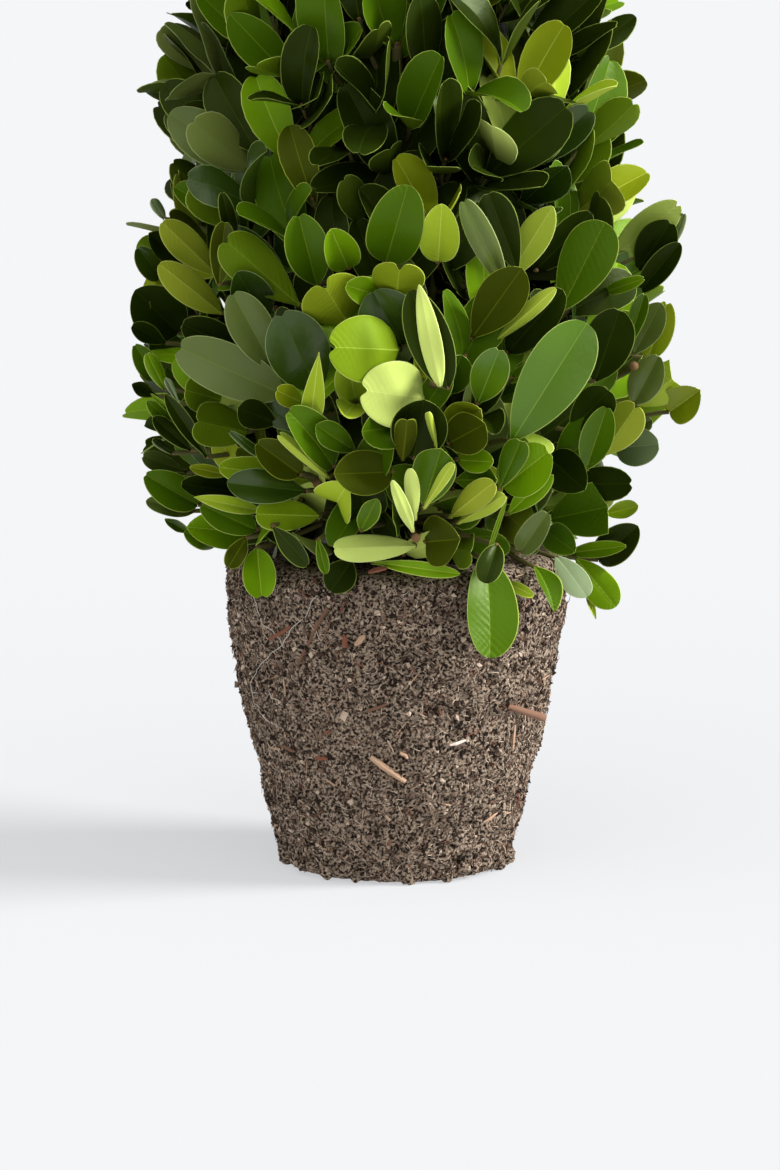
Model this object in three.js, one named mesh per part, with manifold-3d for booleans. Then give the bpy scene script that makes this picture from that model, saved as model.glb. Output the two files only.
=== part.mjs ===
// Boxwood cone topiary, as lifted from its pot: a clipped cone of leafy shoots round one
// leaning trunk, standing on its bare root ball.
// Units are millimetres and +Z is up. The origin is the middle of the root ball's flat
// underside, and the side seen from the front faces -Y.

import * as THREE from "three";
import { mergeVertices } from "three/addons/utils/BufferGeometryUtils.js";
import Module from "manifold-3d";

const wasm = await Module();
wasm.setup();

// Driving dimensions

const CLEARANCE = 0.3; // gap between solids that would touch
const SLIVER = 0.01; // edges shorter than this are closed up

const BALL = {
  height: 75,
  topRadius: 40,
  footRadius: 27.3,
  bulge: 1.47, // 1 is a straight taper, more fills the side out
  rimRound: 5,
  footRound: 3.3,
  relief: 0.8, // depth of the crumbs and hollows
  seatRadius: 11, // smooth patch that the trunk stands on
  topRing: 23, // a ring of corners on the top, between the seat and the rim
  facets: 38,
  rings: 11,
};

// A dead twig that lies half buried along the root ball's right side, its end sticking out
const STUB = {
  height: 43.5,
  azimuth: -50,
  sunk: 1.6,
  heading: 29,
  tilt: -21,
  length: 14.5,
  radius: 0.95,
  facets: 6,
};

const TRUNK = {
  foot: BALL.height + CLEARANCE,
  top: 350,
  footRadius: 7.6,
  radius: 4.6, // just above the root flare
  tipRadius: 1.5,
  flareHeight: 9,
  buttresses: 4,
  buttressDepth: 0.14,
  lean: 1, // how far back the tip stands off the foot
  leanAside: -0.4, // and how far to the side, as a share of that
  sway: 1.2, // how far the middle bows out to the side
  swayBack: 0.5, // and how far back, as a share of that
  facets: 10,
  rings: 8,
  ringBunching: 1.6, // 1 spaces the rings evenly, more bunches them at the flare
};

const CROWN = {
  top: 406,
  apex: 424, // where the outline's sides would meet, above the blunt tip
  widest: 118,
  foot: 72,
  radius: 66,
  footRadius: 50,
  taper: 1.4, // 1 is a straight cone, more fills the cone out
  undercut: 1.5,
};

// Shoots point straight out at one height, droop below it and rise more and more above it
const GROWTH = { levelHeight: 92, droopPerMm: 1.1, steepest: 78 };

// Heights where the outline is parted between neighbouring masses, from the foot up
const MASSES = [
  { name: "foliage_lower", from: CROWN.foot, to: 168 },
  { name: "foliage_middle", from: 168, to: 264 },
  { name: "foliage_top", from: 264, to: CROWN.top },
];

const CORE = {
  depth: 37, // distance from the outline back to the core, along a shoot
  wall: 1.6, // least cover over the trunk
  floor: BALL.height + 5,
  facets: 12,
  rings: 4,
};

const SPRAY = {
  area: 1500, // patch of outline that one spray of shoots covers
  sideShoot: 0.3, // where a side shoot leaves the main twig
  sideSpread: 0.56, // its sideways distance, as a share of the spacing of sprays
  sideRise: 0.2, // how far it may end higher or lower, as such a share
  sunk: 7, // how deep a twig is rooted in the core
  reachJitter: 3,
  tiltJitter: 7,
};

const TWIG = { footRadius: 1.5, tipRadius: 1.2, facets: 3 };

const LEAF = {
  length: 32,
  width: 17.5,
  widestAt: 0.58,
  tipWidth: 8.4,
  tipAt: 0.93,
  cup: 1.6, // height of the sides over the midrib
  keel: 1.2, // thickness at the midrib
  keelAt: 0.36,
  sunk: 0.5, // how far past the twig's middle the stalk reaches
  smallest: 0.74, // a leaf shrinks no further than this to find room
  sizeJitter: 0.06,
};

// Leaves stand in crossed pairs: angle to the twig and distance back from its end
const PAIRS = [
  { angle: 30, back: 1.2 },
  { angle: 54, back: 7 },
];

// Leaves that stand straight out of the core between the shoots
const SPROUT = { area: 250, sunk: 2, angle: 8, tiltJitter: 10 };

// Single leaves that hang down over the root ball's rim
const HANGERS = {
  count: 18,
  unevenness: 0.35, // how far one may stand off its place, as a share of their spacing
  height: 79,
  lift: 8,
  past: 3.6,
  pastPerLift: 0.3,
  rootHeight: 88,
  rootRadius: 17,
  steepest: 78,
  flattest: 24,
};

const SOIL_SEED = 7;
const CROWN_SEED = 7;
// A leaf is tried in ever looser ways, up to so many times the first turn and angle
const TRY = { count: 55, turn: 0.1, angle: 4, loosest: 9 };
const PARTING_REACH = 15; // how near a parting counts as next to it
const SPACE_MARGIN = 0.35; // leaves stay this far inside their mass's own space
const OUTLINE_SLACK = 3; // and at most this far outside the outline

const OUTLINE_STEP = 0.25;
const GOLDEN_ANGLE = Math.PI * (3 - Math.sqrt(5));
const NEARLY_UPRIGHT = 0.05; // a direction this close to the vertical has no level side
const UP = new THREE.Vector3(0, 0, 1);

const soilMaterial = new THREE.MeshStandardMaterial({ color: 0x4f4239, roughness: 0.95, metalness: 0 });
const barkMaterial = new THREE.MeshStandardMaterial({ color: 0x7a6248, roughness: 0.85, metalness: 0 });
const leafMaterial = new THREE.MeshStandardMaterial({ color: 0x4f7420, roughness: 0.45, metalness: 0 });

// Small helpers

function seededRandom(seed) {
  let state = seed;
  return () => {
    state = (state + 0x6d2b79f5) | 0;
    let bits = Math.imul(state ^ (state >>> 15), 1 | state);
    bits = (bits + Math.imul(bits ^ (bits >>> 7), 61 | bits)) ^ bits;
    return ((bits ^ (bits >>> 14)) >>> 0) / 4294967296;
  };
}

function around(random, spread) {
  return (2 * random() - 1) * spread;
}

function fromPolar(radius, azimuth, z) {
  return new THREE.Vector3(radius * Math.cos(azimuth), radius * Math.sin(azimuth), z);
}

// Solids and meshes

function closedTriangles(index) {
  const kept = [];
  for (let i = 0; i < index.length; i += 3) {
    const [a, b, c] = index.slice(i, i + 3);
    if (a !== b && b !== c && c !== a) kept.push(a, b, c);
  }
  return kept;
}

function weld(geometry) {
  const bare = geometry.clone();
  bare.deleteAttribute("normal");
  bare.deleteAttribute("uv");
  const welded = mergeVertices(bare);
  welded.setIndex(closedTriangles(Array.from(welded.index.array)));
  return welded;
}

function solidOf(geometry) {
  const welded = weld(geometry);
  return new wasm.Manifold(
    new wasm.Mesh({
      numProp: 3,
      vertProperties: new Float32Array(welded.attributes.position.array),
      triVerts: new Uint32Array(welded.index.array),
    }),
  );
}

function meshOf(name, solid, material) {
  const { vertProperties, triVerts } = solid.getMesh();
  const geometry = new THREE.BufferGeometry();
  geometry.setAttribute("position", new THREE.BufferAttribute(new Float32Array(vertProperties), 3));
  geometry.setIndex(Array.from(triVerts));
  geometry.computeVertexNormals();
  const mesh = new THREE.Mesh(geometry, material);
  mesh.name = name;
  return mesh;
}

// Joins solids two by two, then keeps the one large body: loose scraps and sealed hollows go,
// and so do the slivers that fusing leaves
function fuse(solids) {
  let round = solids;
  while (round.length > 1) {
    const joined = [];
    for (let i = 0; i < round.length; i += 2) {
      joined.push(i + 1 < round.length ? round[i].add(round[i + 1]) : round[i]);
    }
    round = joined;
  }
  const bodies = round[0].simplify(SLIVER).decompose();
  return bodies.reduce((best, body) => (body.volume() > best.volume() ? body : best));
}

function moveVertices(geometry, move) {
  const position = geometry.attributes.position;
  const point = new THREE.Vector3();
  for (let i = 0; i < position.count; i += 1) {
    point.fromBufferAttribute(position, i);
    move(point);
    position.setXYZ(i, point.x, point.y, point.z);
  }
  return geometry;
}

// A profile of radius and height, turned round the Z axis
function turned(profile, facets) {
  const points = profile.map(([radius, z]) => new THREE.Vector2(radius, z));
  return new THREE.LatheGeometry(points, facets).rotateX(Math.PI / 2);
}

// Root ball

function ballRadius(z) {
  const rise = (z - BALL.footRound) / (BALL.height - BALL.rimRound - BALL.footRound);
  const fill = 1 - (1 - THREE.MathUtils.clamp(rise, 0, 1)) ** BALL.bulge;
  return BALL.footRadius + (BALL.topRadius - BALL.footRadius) * fill;
}

function ballProfile() {
  const profile = [[0, 0], [(BALL.footRadius - BALL.footRound) / 2, 0]];
  for (const turn of [0, Math.PI / 4]) {
    const radius = BALL.footRadius - BALL.footRound * (1 - Math.sin(turn));
    profile.push([radius, BALL.footRound * (1 - Math.cos(turn))]);
  }
  const sideHeight = BALL.height - BALL.rimRound - BALL.footRound;
  for (let ring = 0; ring <= BALL.rings; ring += 1) {
    const z = BALL.footRound + (sideHeight * ring) / BALL.rings;
    profile.push([ballRadius(z), z]);
  }
  for (const turn of [Math.PI / 4, Math.PI / 2]) {
    const radius = BALL.topRadius - BALL.rimRound * (1 - Math.cos(turn));
    profile.push([radius, BALL.height - BALL.rimRound * (1 - Math.sin(turn))]);
  }
  for (const radius of [BALL.topRing, BALL.seatRadius, 0]) profile.push([radius, BALL.height]);
  return profile;
}

// Crumbs and hollows everywhere but on the flat underside and the trunk's seat
function crumble(point, random) {
  const radius = Math.hypot(point.x, point.y);
  const grow = around(random, BALL.relief);
  const sink = random() * BALL.relief;
  const onUnderside = point.z < SLIVER;
  const onTop = point.z > BALL.height - SLIVER;
  if (onTop && radius > BALL.seatRadius + 1) point.z -= sink;
  if (radius > 0 && !onTop) {
    const scale = 1 + (onUnderside ? Math.min(grow, 0) : grow) / radius;
    point.x *= scale;
    point.y *= scale;
  }
}

function deadTwig() {
  const [azimuth, heading, tilt] = [STUB.azimuth, STUB.heading, STUB.tilt].map(THREE.MathUtils.degToRad);
  const foot = fromPolar(ballRadius(STUB.height) - STUB.sunk, azimuth, STUB.height);
  const direction = fromPolar(Math.cos(tilt), heading, Math.sin(tilt));
  return rod(foot, direction, STUB.length, STUB.radius, STUB.radius, STUB.facets);
}

function buildRootBall() {
  const random = seededRandom(SOIL_SEED);
  const ball = moveVertices(weld(turned(ballProfile(), BALL.facets)), (point) => crumble(point, random));
  return fuse([solidOf(ball), solidOf(deadTwig())]);
}

// Trunk

function trunkRadius(z) {
  const rise = THREE.MathUtils.clamp((z - TRUNK.foot) / (TRUNK.top - TRUNK.foot), 0, 1);
  const flare = Math.max(0, 1 - (z - TRUNK.foot) / TRUNK.flareHeight);
  const plain = TRUNK.radius + (TRUNK.tipRadius - TRUNK.radius) * rise;
  return plain + (TRUNK.footRadius - TRUNK.radius) * flare ** 2;
}

// Where the trunk's middle stands at a height: it leans to one side and bows on the way
function trunkCentre(z) {
  const rise = THREE.MathUtils.clamp((z - TRUNK.foot) / (TRUNK.top - TRUNK.foot), 0, 1);
  const bow = TRUNK.sway * Math.sin(Math.PI * rise);
  const lean = TRUNK.lean * rise;
  return new THREE.Vector3(bow + lean * TRUNK.leanAside, lean + bow * TRUNK.swayBack, z);
}

// The trunk's shape, grown outward by a gap where it is used to cut its own way
function trunkShape(gap) {
  const profile = [[0, TRUNK.foot - gap]];
  for (let ring = 0; ring <= TRUNK.rings; ring += 1) {
    const share = (ring / TRUNK.rings) ** TRUNK.ringBunching;
    const z = TRUNK.foot + (TRUNK.top - TRUNK.foot) * share;
    const endGap = ring === 0 ? -gap : ring === TRUNK.rings ? gap : 0;
    profile.push([trunkRadius(z) + gap, z + endGap]);
  }
  profile.push([0, TRUNK.top + gap]);
  return moveVertices(weld(turned(profile, TRUNK.facets)), (point) => {
    const flare = Math.max(0, 1 - (point.z - TRUNK.foot) / (2 * TRUNK.flareHeight));
    const lobe = Math.cos(TRUNK.buttresses * Math.atan2(point.y, point.x));
    const swell = 1 + TRUNK.buttressDepth * flare * lobe;
    const centre = trunkCentre(point.z);
    point.set(point.x * swell + centre.x, point.y * swell + centre.y, point.z);
  });
}

// The room that the trunk and the root ball need
const trunkWay = solidOf(trunkShape(CLEARANCE));
const rim = BALL.topRadius + 2 * BALL.relief;
const ballWay = solidOf(turned([[0, 0], [BALL.footRadius, 0], [rim, BALL.height - 2 * BALL.rimRound],
  [rim, BALL.height], [0, BALL.height + 1]], BALL.facets));

// Outline of the clipped crown and the way its shoots point

function outlineRadius(z) {
  if (z >= CROWN.widest) {
    const rise = Math.min((z - CROWN.widest) / (CROWN.apex - CROWN.widest), 1);
    return CROWN.radius * (1 - rise ** CROWN.taper);
  }
  const drop = (CROWN.widest - z) / (CROWN.widest - CROWN.foot);
  return CROWN.radius - (CROWN.radius - CROWN.footRadius) * drop ** CROWN.undercut;
}

function shootTilt(z) {
  const above = z - GROWTH.levelHeight;
  const degrees = above < 0
    ? GROWTH.droopPerMm * above
    : GROWTH.steepest * Math.sqrt(above / (CROWN.top - GROWTH.levelHeight));
  return THREE.MathUtils.degToRad(degrees);
}

// A mass's own space lies between two cones that rise outward as its shoots do
function partingCone(z) {
  const slope = Math.tan(shootTilt(z));
  return { foot: z - outlineRadius(z) * slope, slope };
}

function spaceOf(mass) {
  const isLowest = mass.from === CROWN.foot;
  const isHighest = mass.to === CROWN.top;
  return {
    floor: isLowest ? null : partingCone(mass.from),
    roof: isHighest ? null : partingCone(mass.to),
  };
}

function heightOver(cone, point) {
  return point.z - cone.foot - cone.slope * Math.hypot(point.x, point.y);
}

function isInSpace(space, point) {
  const radius = Math.hypot(point.x, point.y);
  const isOver = !space.floor || heightOver(space.floor, point) > SPACE_MARGIN * (1 + space.floor.slope);
  const isUnder = !space.roof || heightOver(space.roof, point) < -SPACE_MARGIN * (1 + space.roof.slope);
  const z = Math.max(point.z, CROWN.foot);
  const isWithin = radius < outlineRadius(z) + OUTLINE_SLACK && point.z < CROWN.top + SLIVER;
  return isOver && isUnder && isWithin;
}

// The core's surface is the outline drawn in along the shoots
function corePoint(outlineZ, depth) {
  const tilt = shootTilt(outlineZ);
  const z = outlineZ - depth * Math.sin(tilt);
  const radius = outlineRadius(outlineZ) - depth * Math.cos(tilt);
  return [Math.max(radius, trunkRadius(z) + TRUNK.lean + CORE.wall), Math.min(z, TRUNK.top)];
}

function coreOf(mass, space, trunkWay) {
  const halfGap = CLEARANCE / 2;
  const profile = [];
  for (let ring = 0; ring <= CORE.rings; ring += 1) {
    const outlineZ = mass.from + ((mass.to - mass.from) * ring) / CORE.rings;
    const [radius, z] = corePoint(outlineZ, CORE.depth);
    profile.push([radius, Math.max(z, CORE.floor)]);
  }
  const liftAt = (cone) => halfGap * Math.sqrt(1 + cone.slope ** 2);
  if (space.floor) {
    profile[0][1] += liftAt(space.floor);
    profile.unshift([0, space.floor.foot + liftAt(space.floor)]);
  } else {
    profile.unshift([0, CORE.floor]);
  }
  if (space.roof) {
    profile.at(-1)[1] -= liftAt(space.roof);
    profile.push([0, space.roof.foot - liftAt(space.roof)]);
  } else {
    profile.push([0, TRUNK.top + 3 * CORE.wall]);
  }
  return solidOf(turned(profile, CORE.facets)).subtract(trunkWay);
}

// Twigs and leaves

// A straight tapered stick from a foot point along a direction
function rod(foot, direction, length, footRadius, tipRadius, facets) {
  const stick = new THREE.CylinderGeometry(tipRadius, footRadius, length, facets).translate(0, length / 2, 0);
  const turn = new THREE.Quaternion().setFromUnitVectors(new THREE.Vector3(0, 1, 0), direction);
  return stick.applyQuaternion(turn).translate(foot.x, foot.y, foot.z);
}

// A leaf along +X with its upper side up: blunt tip, narrow foot, sides folded up a little
function leafShape() {
  const half = LEAF.width / 2;
  const halfTip = LEAF.tipWidth / 2;
  const corners = [
    [0, 0, 0],
    [LEAF.widestAt * LEAF.length, -half, LEAF.cup],
    [LEAF.tipAt * LEAF.length, -halfTip, LEAF.cup * 0.3],
    [LEAF.length, halfTip, LEAF.cup * 0.3],
    [LEAF.widestAt * LEAF.length, half, LEAF.cup],
    [LEAF.keelAt * LEAF.length, 0, -LEAF.keel],
  ];
  const faces = [
    [0, 1, 2], [0, 2, 3], [0, 3, 4],
    [1, 0, 5], [2, 1, 5], [3, 2, 5], [4, 3, 5], [0, 4, 5],
  ];
  const geometry = new THREE.BufferGeometry();
  geometry.setAttribute("position", new THREE.Float32BufferAttribute(corners.flat(), 3));
  geometry.setIndex(faces.flat());
  return geometry;
}

const plainLeaf = leafShape();

// A leaf rooted in a twig, pointing away from it, with its upper side turned to the twig's end
function placedLeaf(root, twigDirection, sideways, angle, size) {
  const along = twigDirection.clone().multiplyScalar(Math.cos(angle));
  along.addScaledVector(sideways, Math.sin(angle));
  const upper = twigDirection.clone().multiplyScalar(Math.sin(angle));
  upper.addScaledVector(sideways, -Math.cos(angle));
  const across = new THREE.Vector3().crossVectors(upper, along);
  const foot = root.clone().addScaledVector(along, -LEAF.sunk);
  const frame = new THREE.Matrix4().makeBasis(along, across, upper).setPosition(foot);
  return plainLeaf.clone().scale(size, size, 1).applyMatrix4(frame);
}

// Corners of a geometry and the middles of its edges, to test where it lies
function samplePoints(geometry) {
  const position = geometry.attributes.position;
  const corners = [];
  for (let i = 0; i < position.count; i += 1) {
    corners.push(new THREE.Vector3().fromBufferAttribute(position, i));
  }
  const middles = corners.map((corner, i) => corner.clone().lerp(corners[(i + 1) % corners.length], 0.5));
  return corners.concat(middles);
}

function touches(solid, other) {
  return !solid.intersect(other).isEmpty();
}

// Everything that has grown so far, so that what grows next can keep clear of it
const grown = [];

function remember(geometry, solid) {
  geometry.computeBoundingBox();
  grown.push({ box: geometry.boundingBox.clone(), solid });
}

function crossesAnother(geometry, solid, kin) {
  geometry.computeBoundingBox();
  return grown.some((other) =>
    !kin.includes(other.solid)
    && other.box.intersectsBox(geometry.boundingBox)
    && touches(solid, other.solid));
}

function isFree(geometry, solid, mass, limbs, kin) {
  return samplePoints(geometry).every((point) => isInSpace(mass.space, point))
    && !limbs.some((limb) => touches(solid, limb))
    && !crossesAnother(geometry, solid, kin);
}

// A perpendicular to a direction, turned round it by an angle
function sidewaysOf(direction, turn) {
  const level = new THREE.Vector3().crossVectors(UP, direction);
  if (level.length() < NEARLY_UPRIGHT) level.set(1, 0, 0);
  return level.normalize().applyAxisAngle(direction, turn);
}

// A twig, rooted in its mass's core or in the twig it branches from
function growTwig(root, end, mass, mother) {
  const direction = end.clone().sub(root);
  const length = direction.length();
  direction.normalize();
  const geometry = rod(root, direction, length, TWIG.footRadius, TWIG.tipRadius, TWIG.facets);
  const solid = solidOf(geometry);
  if (!isFree(geometry, solid, mass, mass.limbs, mother ? [mother.solid] : [])) return null;
  remember(geometry, solid);
  mass.solids.push(solid);
  return { solid, mass, root, end, direction, length };
}

// Tries a leaf in slightly different ways until it lies free in its mass's own space
function growLeaf(mass, foot, direction, turn, angle, limbs, kin, random) {
  for (let attempt = 0; attempt < TRY.count; attempt += 1) {
    const share = attempt / TRY.count;
    const loosen = 1 + (TRY.loosest - 1) * share;
    const sideways = sidewaysOf(direction, turn + around(random, TRY.turn * loosen));
    const opening = THREE.MathUtils.degToRad(angle + around(random, TRY.angle * loosen));
    const shrink = 1 - (1 - LEAF.smallest) * share;
    const leaf = placedLeaf(foot, direction, sideways, opening, shrink + around(random, LEAF.sizeJitter));
    const solid = solidOf(leaf);
    if (isFree(leaf, solid, mass, limbs, kin)) {
      remember(leaf, solid);
      mass.solids.push(solid);
      return [solid];
    }
  }
  return [];
}

// Two leaves that face each other across the twig
function growPair(twig, pair, turn, random) {
  const { mass, direction, solid } = twig;
  const foot = twig.end.clone().addScaledVector(direction, -pair.back);
  const limbs = [mass.core, ...mass.limbs];
  const first = growLeaf(mass, foot, direction, turn, pair.angle, limbs, [solid], random);
  growLeaf(mass, foot, direction, turn + Math.PI, pair.angle, limbs, [solid, ...first], random);
}

// A leaf that stands straight out of the core, in the room between the shoots
function growSprout(place, mass, random) {
  const tilt = shootTilt(place.z) + THREE.MathUtils.degToRad(around(random, SPROUT.tiltJitter));
  const radius = outlineRadius(place.z) - (CORE.depth + SPROUT.sunk) * Math.cos(tilt);
  const z = place.z - (CORE.depth + SPROUT.sunk) * Math.sin(tilt);
  if (radius < trunkRadius(z) + TRUNK.lean || z < CORE.floor + SPROUT.sunk) return;
  const foot = fromPolar(radius, place.azimuth, z);
  const direction = fromPolar(Math.cos(tilt), place.azimuth, Math.sin(tilt));
  const turn = random() * 2 * Math.PI;
  growLeaf(mass, foot, direction, turn, SPROUT.angle, mass.limbs, [], random);
}

// A leaf that hangs over the root ball's rim, on a twig that just reaches past it
function growHanger(azimuth, mass, random) {
  const root = fromPolar(HANGERS.rootRadius, azimuth, HANGERS.rootHeight);
  const lift = random() * HANGERS.lift;
  const past = HANGERS.past + lift * HANGERS.pastPerLift;
  const end = fromPolar(BALL.topRadius + past, azimuth, HANGERS.height + lift);
  const twig = growTwig(root, end, mass, null);
  if (!twig) return;
  const angle = HANGERS.flattest + (HANGERS.steepest - HANGERS.flattest) * random();
  growLeaf(mass, end, twig.direction, -Math.PI / 2, angle, mass.limbs, [twig.solid], random);
}

// Points spread evenly over the outline, each turned from the last by the golden angle
function spreadOverOutline(patch) {
  const points = [];
  let area = patch / 2;
  for (let z = CROWN.foot; z < CROWN.top; z += OUTLINE_STEP) {
    const slant = Math.hypot(OUTLINE_STEP, outlineRadius(z + OUTLINE_STEP) - outlineRadius(z));
    area += 2 * Math.PI * outlineRadius(z) * slant;
    if (area >= patch) {
      area -= patch;
      points.push({ z, azimuth: points.length * GOLDEN_ANGLE });
    }
  }
  return points;
}

function outlineTip(z, azimuth, random) {
  const radius = outlineRadius(z) - random() * SPRAY.reachJitter;
  return fromPolar(radius, azimuth, z);
}

// The root of a shoot lies straight back from its tip, a little way inside the core
function shootRoot(tip, azimuth, random) {
  const tilt = shootTilt(tip.z) + THREE.MathUtils.degToRad(around(random, SPRAY.tiltJitter));
  const back = CORE.depth + SPRAY.sunk;
  const z = THREE.MathUtils.clamp(tip.z - back * Math.sin(tilt), CORE.floor + TWIG.footRadius, TRUNK.top);
  const radius = Math.hypot(tip.x, tip.y) - back * Math.cos(tilt);
  const centre = trunkCentre(z);
  const least = trunkRadius(z) + CLEARANCE + TWIG.footRadius + Math.hypot(centre.x, centre.y);
  return fromPolar(Math.max(radius, least), azimuth, z);
}

// The twig of a shoot stops short of the outline, which the leaves at its end then reach
function twigEnd(root, tip) {
  const leafReach = LEAF.length * Math.cos(THREE.MathUtils.degToRad(PAIRS[0].angle)) - PAIRS[0].back;
  return tip.clone().addScaledVector(tip.clone().sub(root).normalize(), -leafReach);
}

// One spray: a main twig, and a side twig that branches off it
function growSpray(place, order, mass, random) {
  const tip = outlineTip(place.z, place.azimuth, random);
  const root = shootRoot(tip, place.azimuth, random);
  const main = growTwig(root, twigEnd(root, tip), mass, null);
  if (!main) return [];

  const spacing = Math.sqrt(SPRAY.area);
  const hand = order % 2 === 0 ? 1 : -1;
  const sideStep = (spacing * SPRAY.sideSpread) / Math.max(outlineRadius(place.z), spacing / 2);
  const sideZ = Math.min(place.z + around(random, spacing * SPRAY.sideRise), CROWN.top);
  const sideTip = outlineTip(sideZ, place.azimuth + hand * sideStep, random);
  const fork = root.clone().lerp(main.end, SPRAY.sideShoot);
  const side = growTwig(fork, twigEnd(fork, sideTip), mass, main);
  return side ? [main, side] : [main];
}

// A shoot that carries the trunk's line on to the top of the plant
function growLeader(mass) {
  const root = trunkCentre(TRUNK.top).setZ(TRUNK.top + CLEARANCE + TWIG.footRadius);
  return growTwig(root, twigEnd(root, new THREE.Vector3(0, 0, CROWN.top)), mass, null);
}

function massOf(part, core, neighbours) {
  const limbs = [trunkWay, ballWay, ...neighbours];
  return { ...part, space: spaceOf(part), core, limbs, solids: [core] };
}

// Next to a parting the leaves at the end of a twig lie level, along it
function isByParting({ mass, end }) {
  const { floor, roof } = mass.space;
  const isUnderRoof = roof && heightOver(roof, end) > -PARTING_REACH;
  const isOverFloor = floor && heightOver(floor, end) < PARTING_REACH;
  return isUnderRoof || isOverFloor;
}

// Twigs grow first, then the leaves at their ends, then the pairs further in
function growCrown(masses) {
  const random = seededRandom(CROWN_SEED);
  const twigs = [growLeader(masses.at(-1))];
  const massAt = (z) => masses.find((mass) => z < mass.to);
  spreadOverOutline(SPRAY.area).forEach((place, order) => {
    twigs.push(...growSpray(place, order, massAt(place.z), random));
  });
  for (let order = 0; order < HANGERS.count; order += 1) {
    const place = order + around(random, HANGERS.unevenness);
    growHanger((place * 2 * Math.PI) / HANGERS.count, masses[0], random);
  }
  for (const twig of twigs) twig.turn = isByParting(twig) ? 0 : random() * Math.PI;
  PAIRS.forEach((pair, order) => {
    for (const twig of twigs) growPair(twig, pair, twig.turn + (order * Math.PI) / 2, random);
  });
  for (const place of spreadOverOutline(SPROUT.area)) growSprout(place, massAt(place.z), random);
}

// Assembly

const group = new THREE.Group();

group.add(meshOf("root_ball", buildRootBall(), soilMaterial));
group.add(meshOf("trunk", solidOf(trunkShape(0)), barkMaterial));

const cores = MASSES.map((part) => coreOf(part, spaceOf(part), trunkWay));
const masses = MASSES.map((part, order) =>
  massOf(part, cores[order], cores.filter((core) => core !== cores[order])));
growCrown(masses);
for (const mass of masses) group.add(meshOf(mass.name, fuse(mass.solids), leafMaterial));

export default group;
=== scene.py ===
# Boxwood cone topiary: the looks of the plant and its bare root ball, grown round the frame.
# Units are metres and +Z is up. The side seen from the front faces -Y.

import math
from types import SimpleNamespace

import bpy
import numpy as np
from mathutils import Matrix, Vector, noise
from mathutils.bvhtree import BVHTree
from mathutils.kdtree import KDTree


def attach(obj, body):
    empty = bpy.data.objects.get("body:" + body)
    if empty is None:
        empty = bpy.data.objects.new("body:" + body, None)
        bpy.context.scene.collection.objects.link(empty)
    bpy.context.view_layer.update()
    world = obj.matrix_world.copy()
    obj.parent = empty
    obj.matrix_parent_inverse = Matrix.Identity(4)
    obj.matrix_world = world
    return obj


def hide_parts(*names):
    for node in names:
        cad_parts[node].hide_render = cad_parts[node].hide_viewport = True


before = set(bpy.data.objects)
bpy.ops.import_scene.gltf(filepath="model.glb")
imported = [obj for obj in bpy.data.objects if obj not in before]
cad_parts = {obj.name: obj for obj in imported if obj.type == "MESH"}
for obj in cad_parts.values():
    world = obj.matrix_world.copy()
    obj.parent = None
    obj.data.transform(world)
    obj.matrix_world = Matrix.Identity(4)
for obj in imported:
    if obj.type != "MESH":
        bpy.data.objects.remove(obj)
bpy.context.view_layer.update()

MM = 0.001
UP = Vector((0, 0, 1))
GOLDEN_ANGLE = math.pi * (3 - math.sqrt(5))
SEED = 11

# Sizes that the solids share

BALL = SimpleNamespace(
    height=75 * MM,
    top_radius=40 * MM,
    foot_radius=27.3 * MM,
    bulge=1.47,
    rim_round=5 * MM,
    foot_round=3.3 * MM,
)
STUB = SimpleNamespace(
    height=43.5 * MM,
    azimuth=math.radians(-50),
    sunk=1.6 * MM,
    heading=math.radians(29),
    tilt=math.radians(-21),
    length=14.5 * MM,
    radius=0.95 * MM,
)
TRUNK = SimpleNamespace(
    foot=75.3 * MM,
    top=350 * MM,
    foot_radius=7.6 * MM,
    radius=4.6 * MM,
    tip_radius=1.5 * MM,
    flare_height=9 * MM,
    buttresses=4,
    buttress_depth=0.14,
    lean=1 * MM,
    lean_aside=-0.4,
    sway=1.2 * MM,
    sway_back=0.5,
)
CROWN = SimpleNamespace(
    top=406 * MM,
    apex=424 * MM,
    widest=118 * MM,
    foot=72 * MM,
    radius=66 * MM,
    foot_radius=50 * MM,
    taper=1.4,
    undercut=1.5,
    overhang=1.5 * MM,
    drape=6 * MM,
    tuft_radius=12 * MM,
)
GROWTH = SimpleNamespace(level_height=92 * MM, droop_per_mm=1.1, steepest=78)
MASSES = [
    SimpleNamespace(name="lower", node="foliage_lower", to=168 * MM),
    SimpleNamespace(name="middle", node="foliage_middle", to=264 * MM),
    SimpleNamespace(name="top", node="foliage_top", to=CROWN.top + 1),
]

# Sizes of what grows on from them

BOUGH = SimpleNamespace(
    area=1500 * MM**2,
    depth=24 * MM,
    shortest=3 * MM,
    drop=0.5,
    drop_with_tilt=0.6,
    lowest=TRUNK.foot + 6 * MM,
    highest=TRUNK.top - 3 * MM,
    bend_out=0.45,
    bend_up=0.35,
    foot_radius=1.9 * MM,
    tip_radius=1.1 * MM,
)
SHOOT = SimpleNamespace(
    area=200 * MM**2,
    reach_jitter=5 * MM,
    tilt_jitter=9,
    turn_jitter=7,
    foot_radius=0.85 * MM,
    tip_radius=0.5 * MM,
    bare_end=2.2 * MM,
)
LEAF = SimpleNamespace(
    length=26 * MM,
    slimness=0.48,
    thickness=0.34 * MM,
    margin=0.19 * MM,
    rib_foot=0.17 * MM,
    rib_tip=0.06 * MM,
    groove=0.12 * MM,
    ridge=0.16 * MM,
    stalk_radius=0.55 * MM,
    veins=12,
    vein_depth=0.07 * MM,
    vein_slant=0.3,
    veined_from=26,
)
VEINED_TINTS = ("bright", "green", "lime", "lime olive", "pale", "olive")
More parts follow.
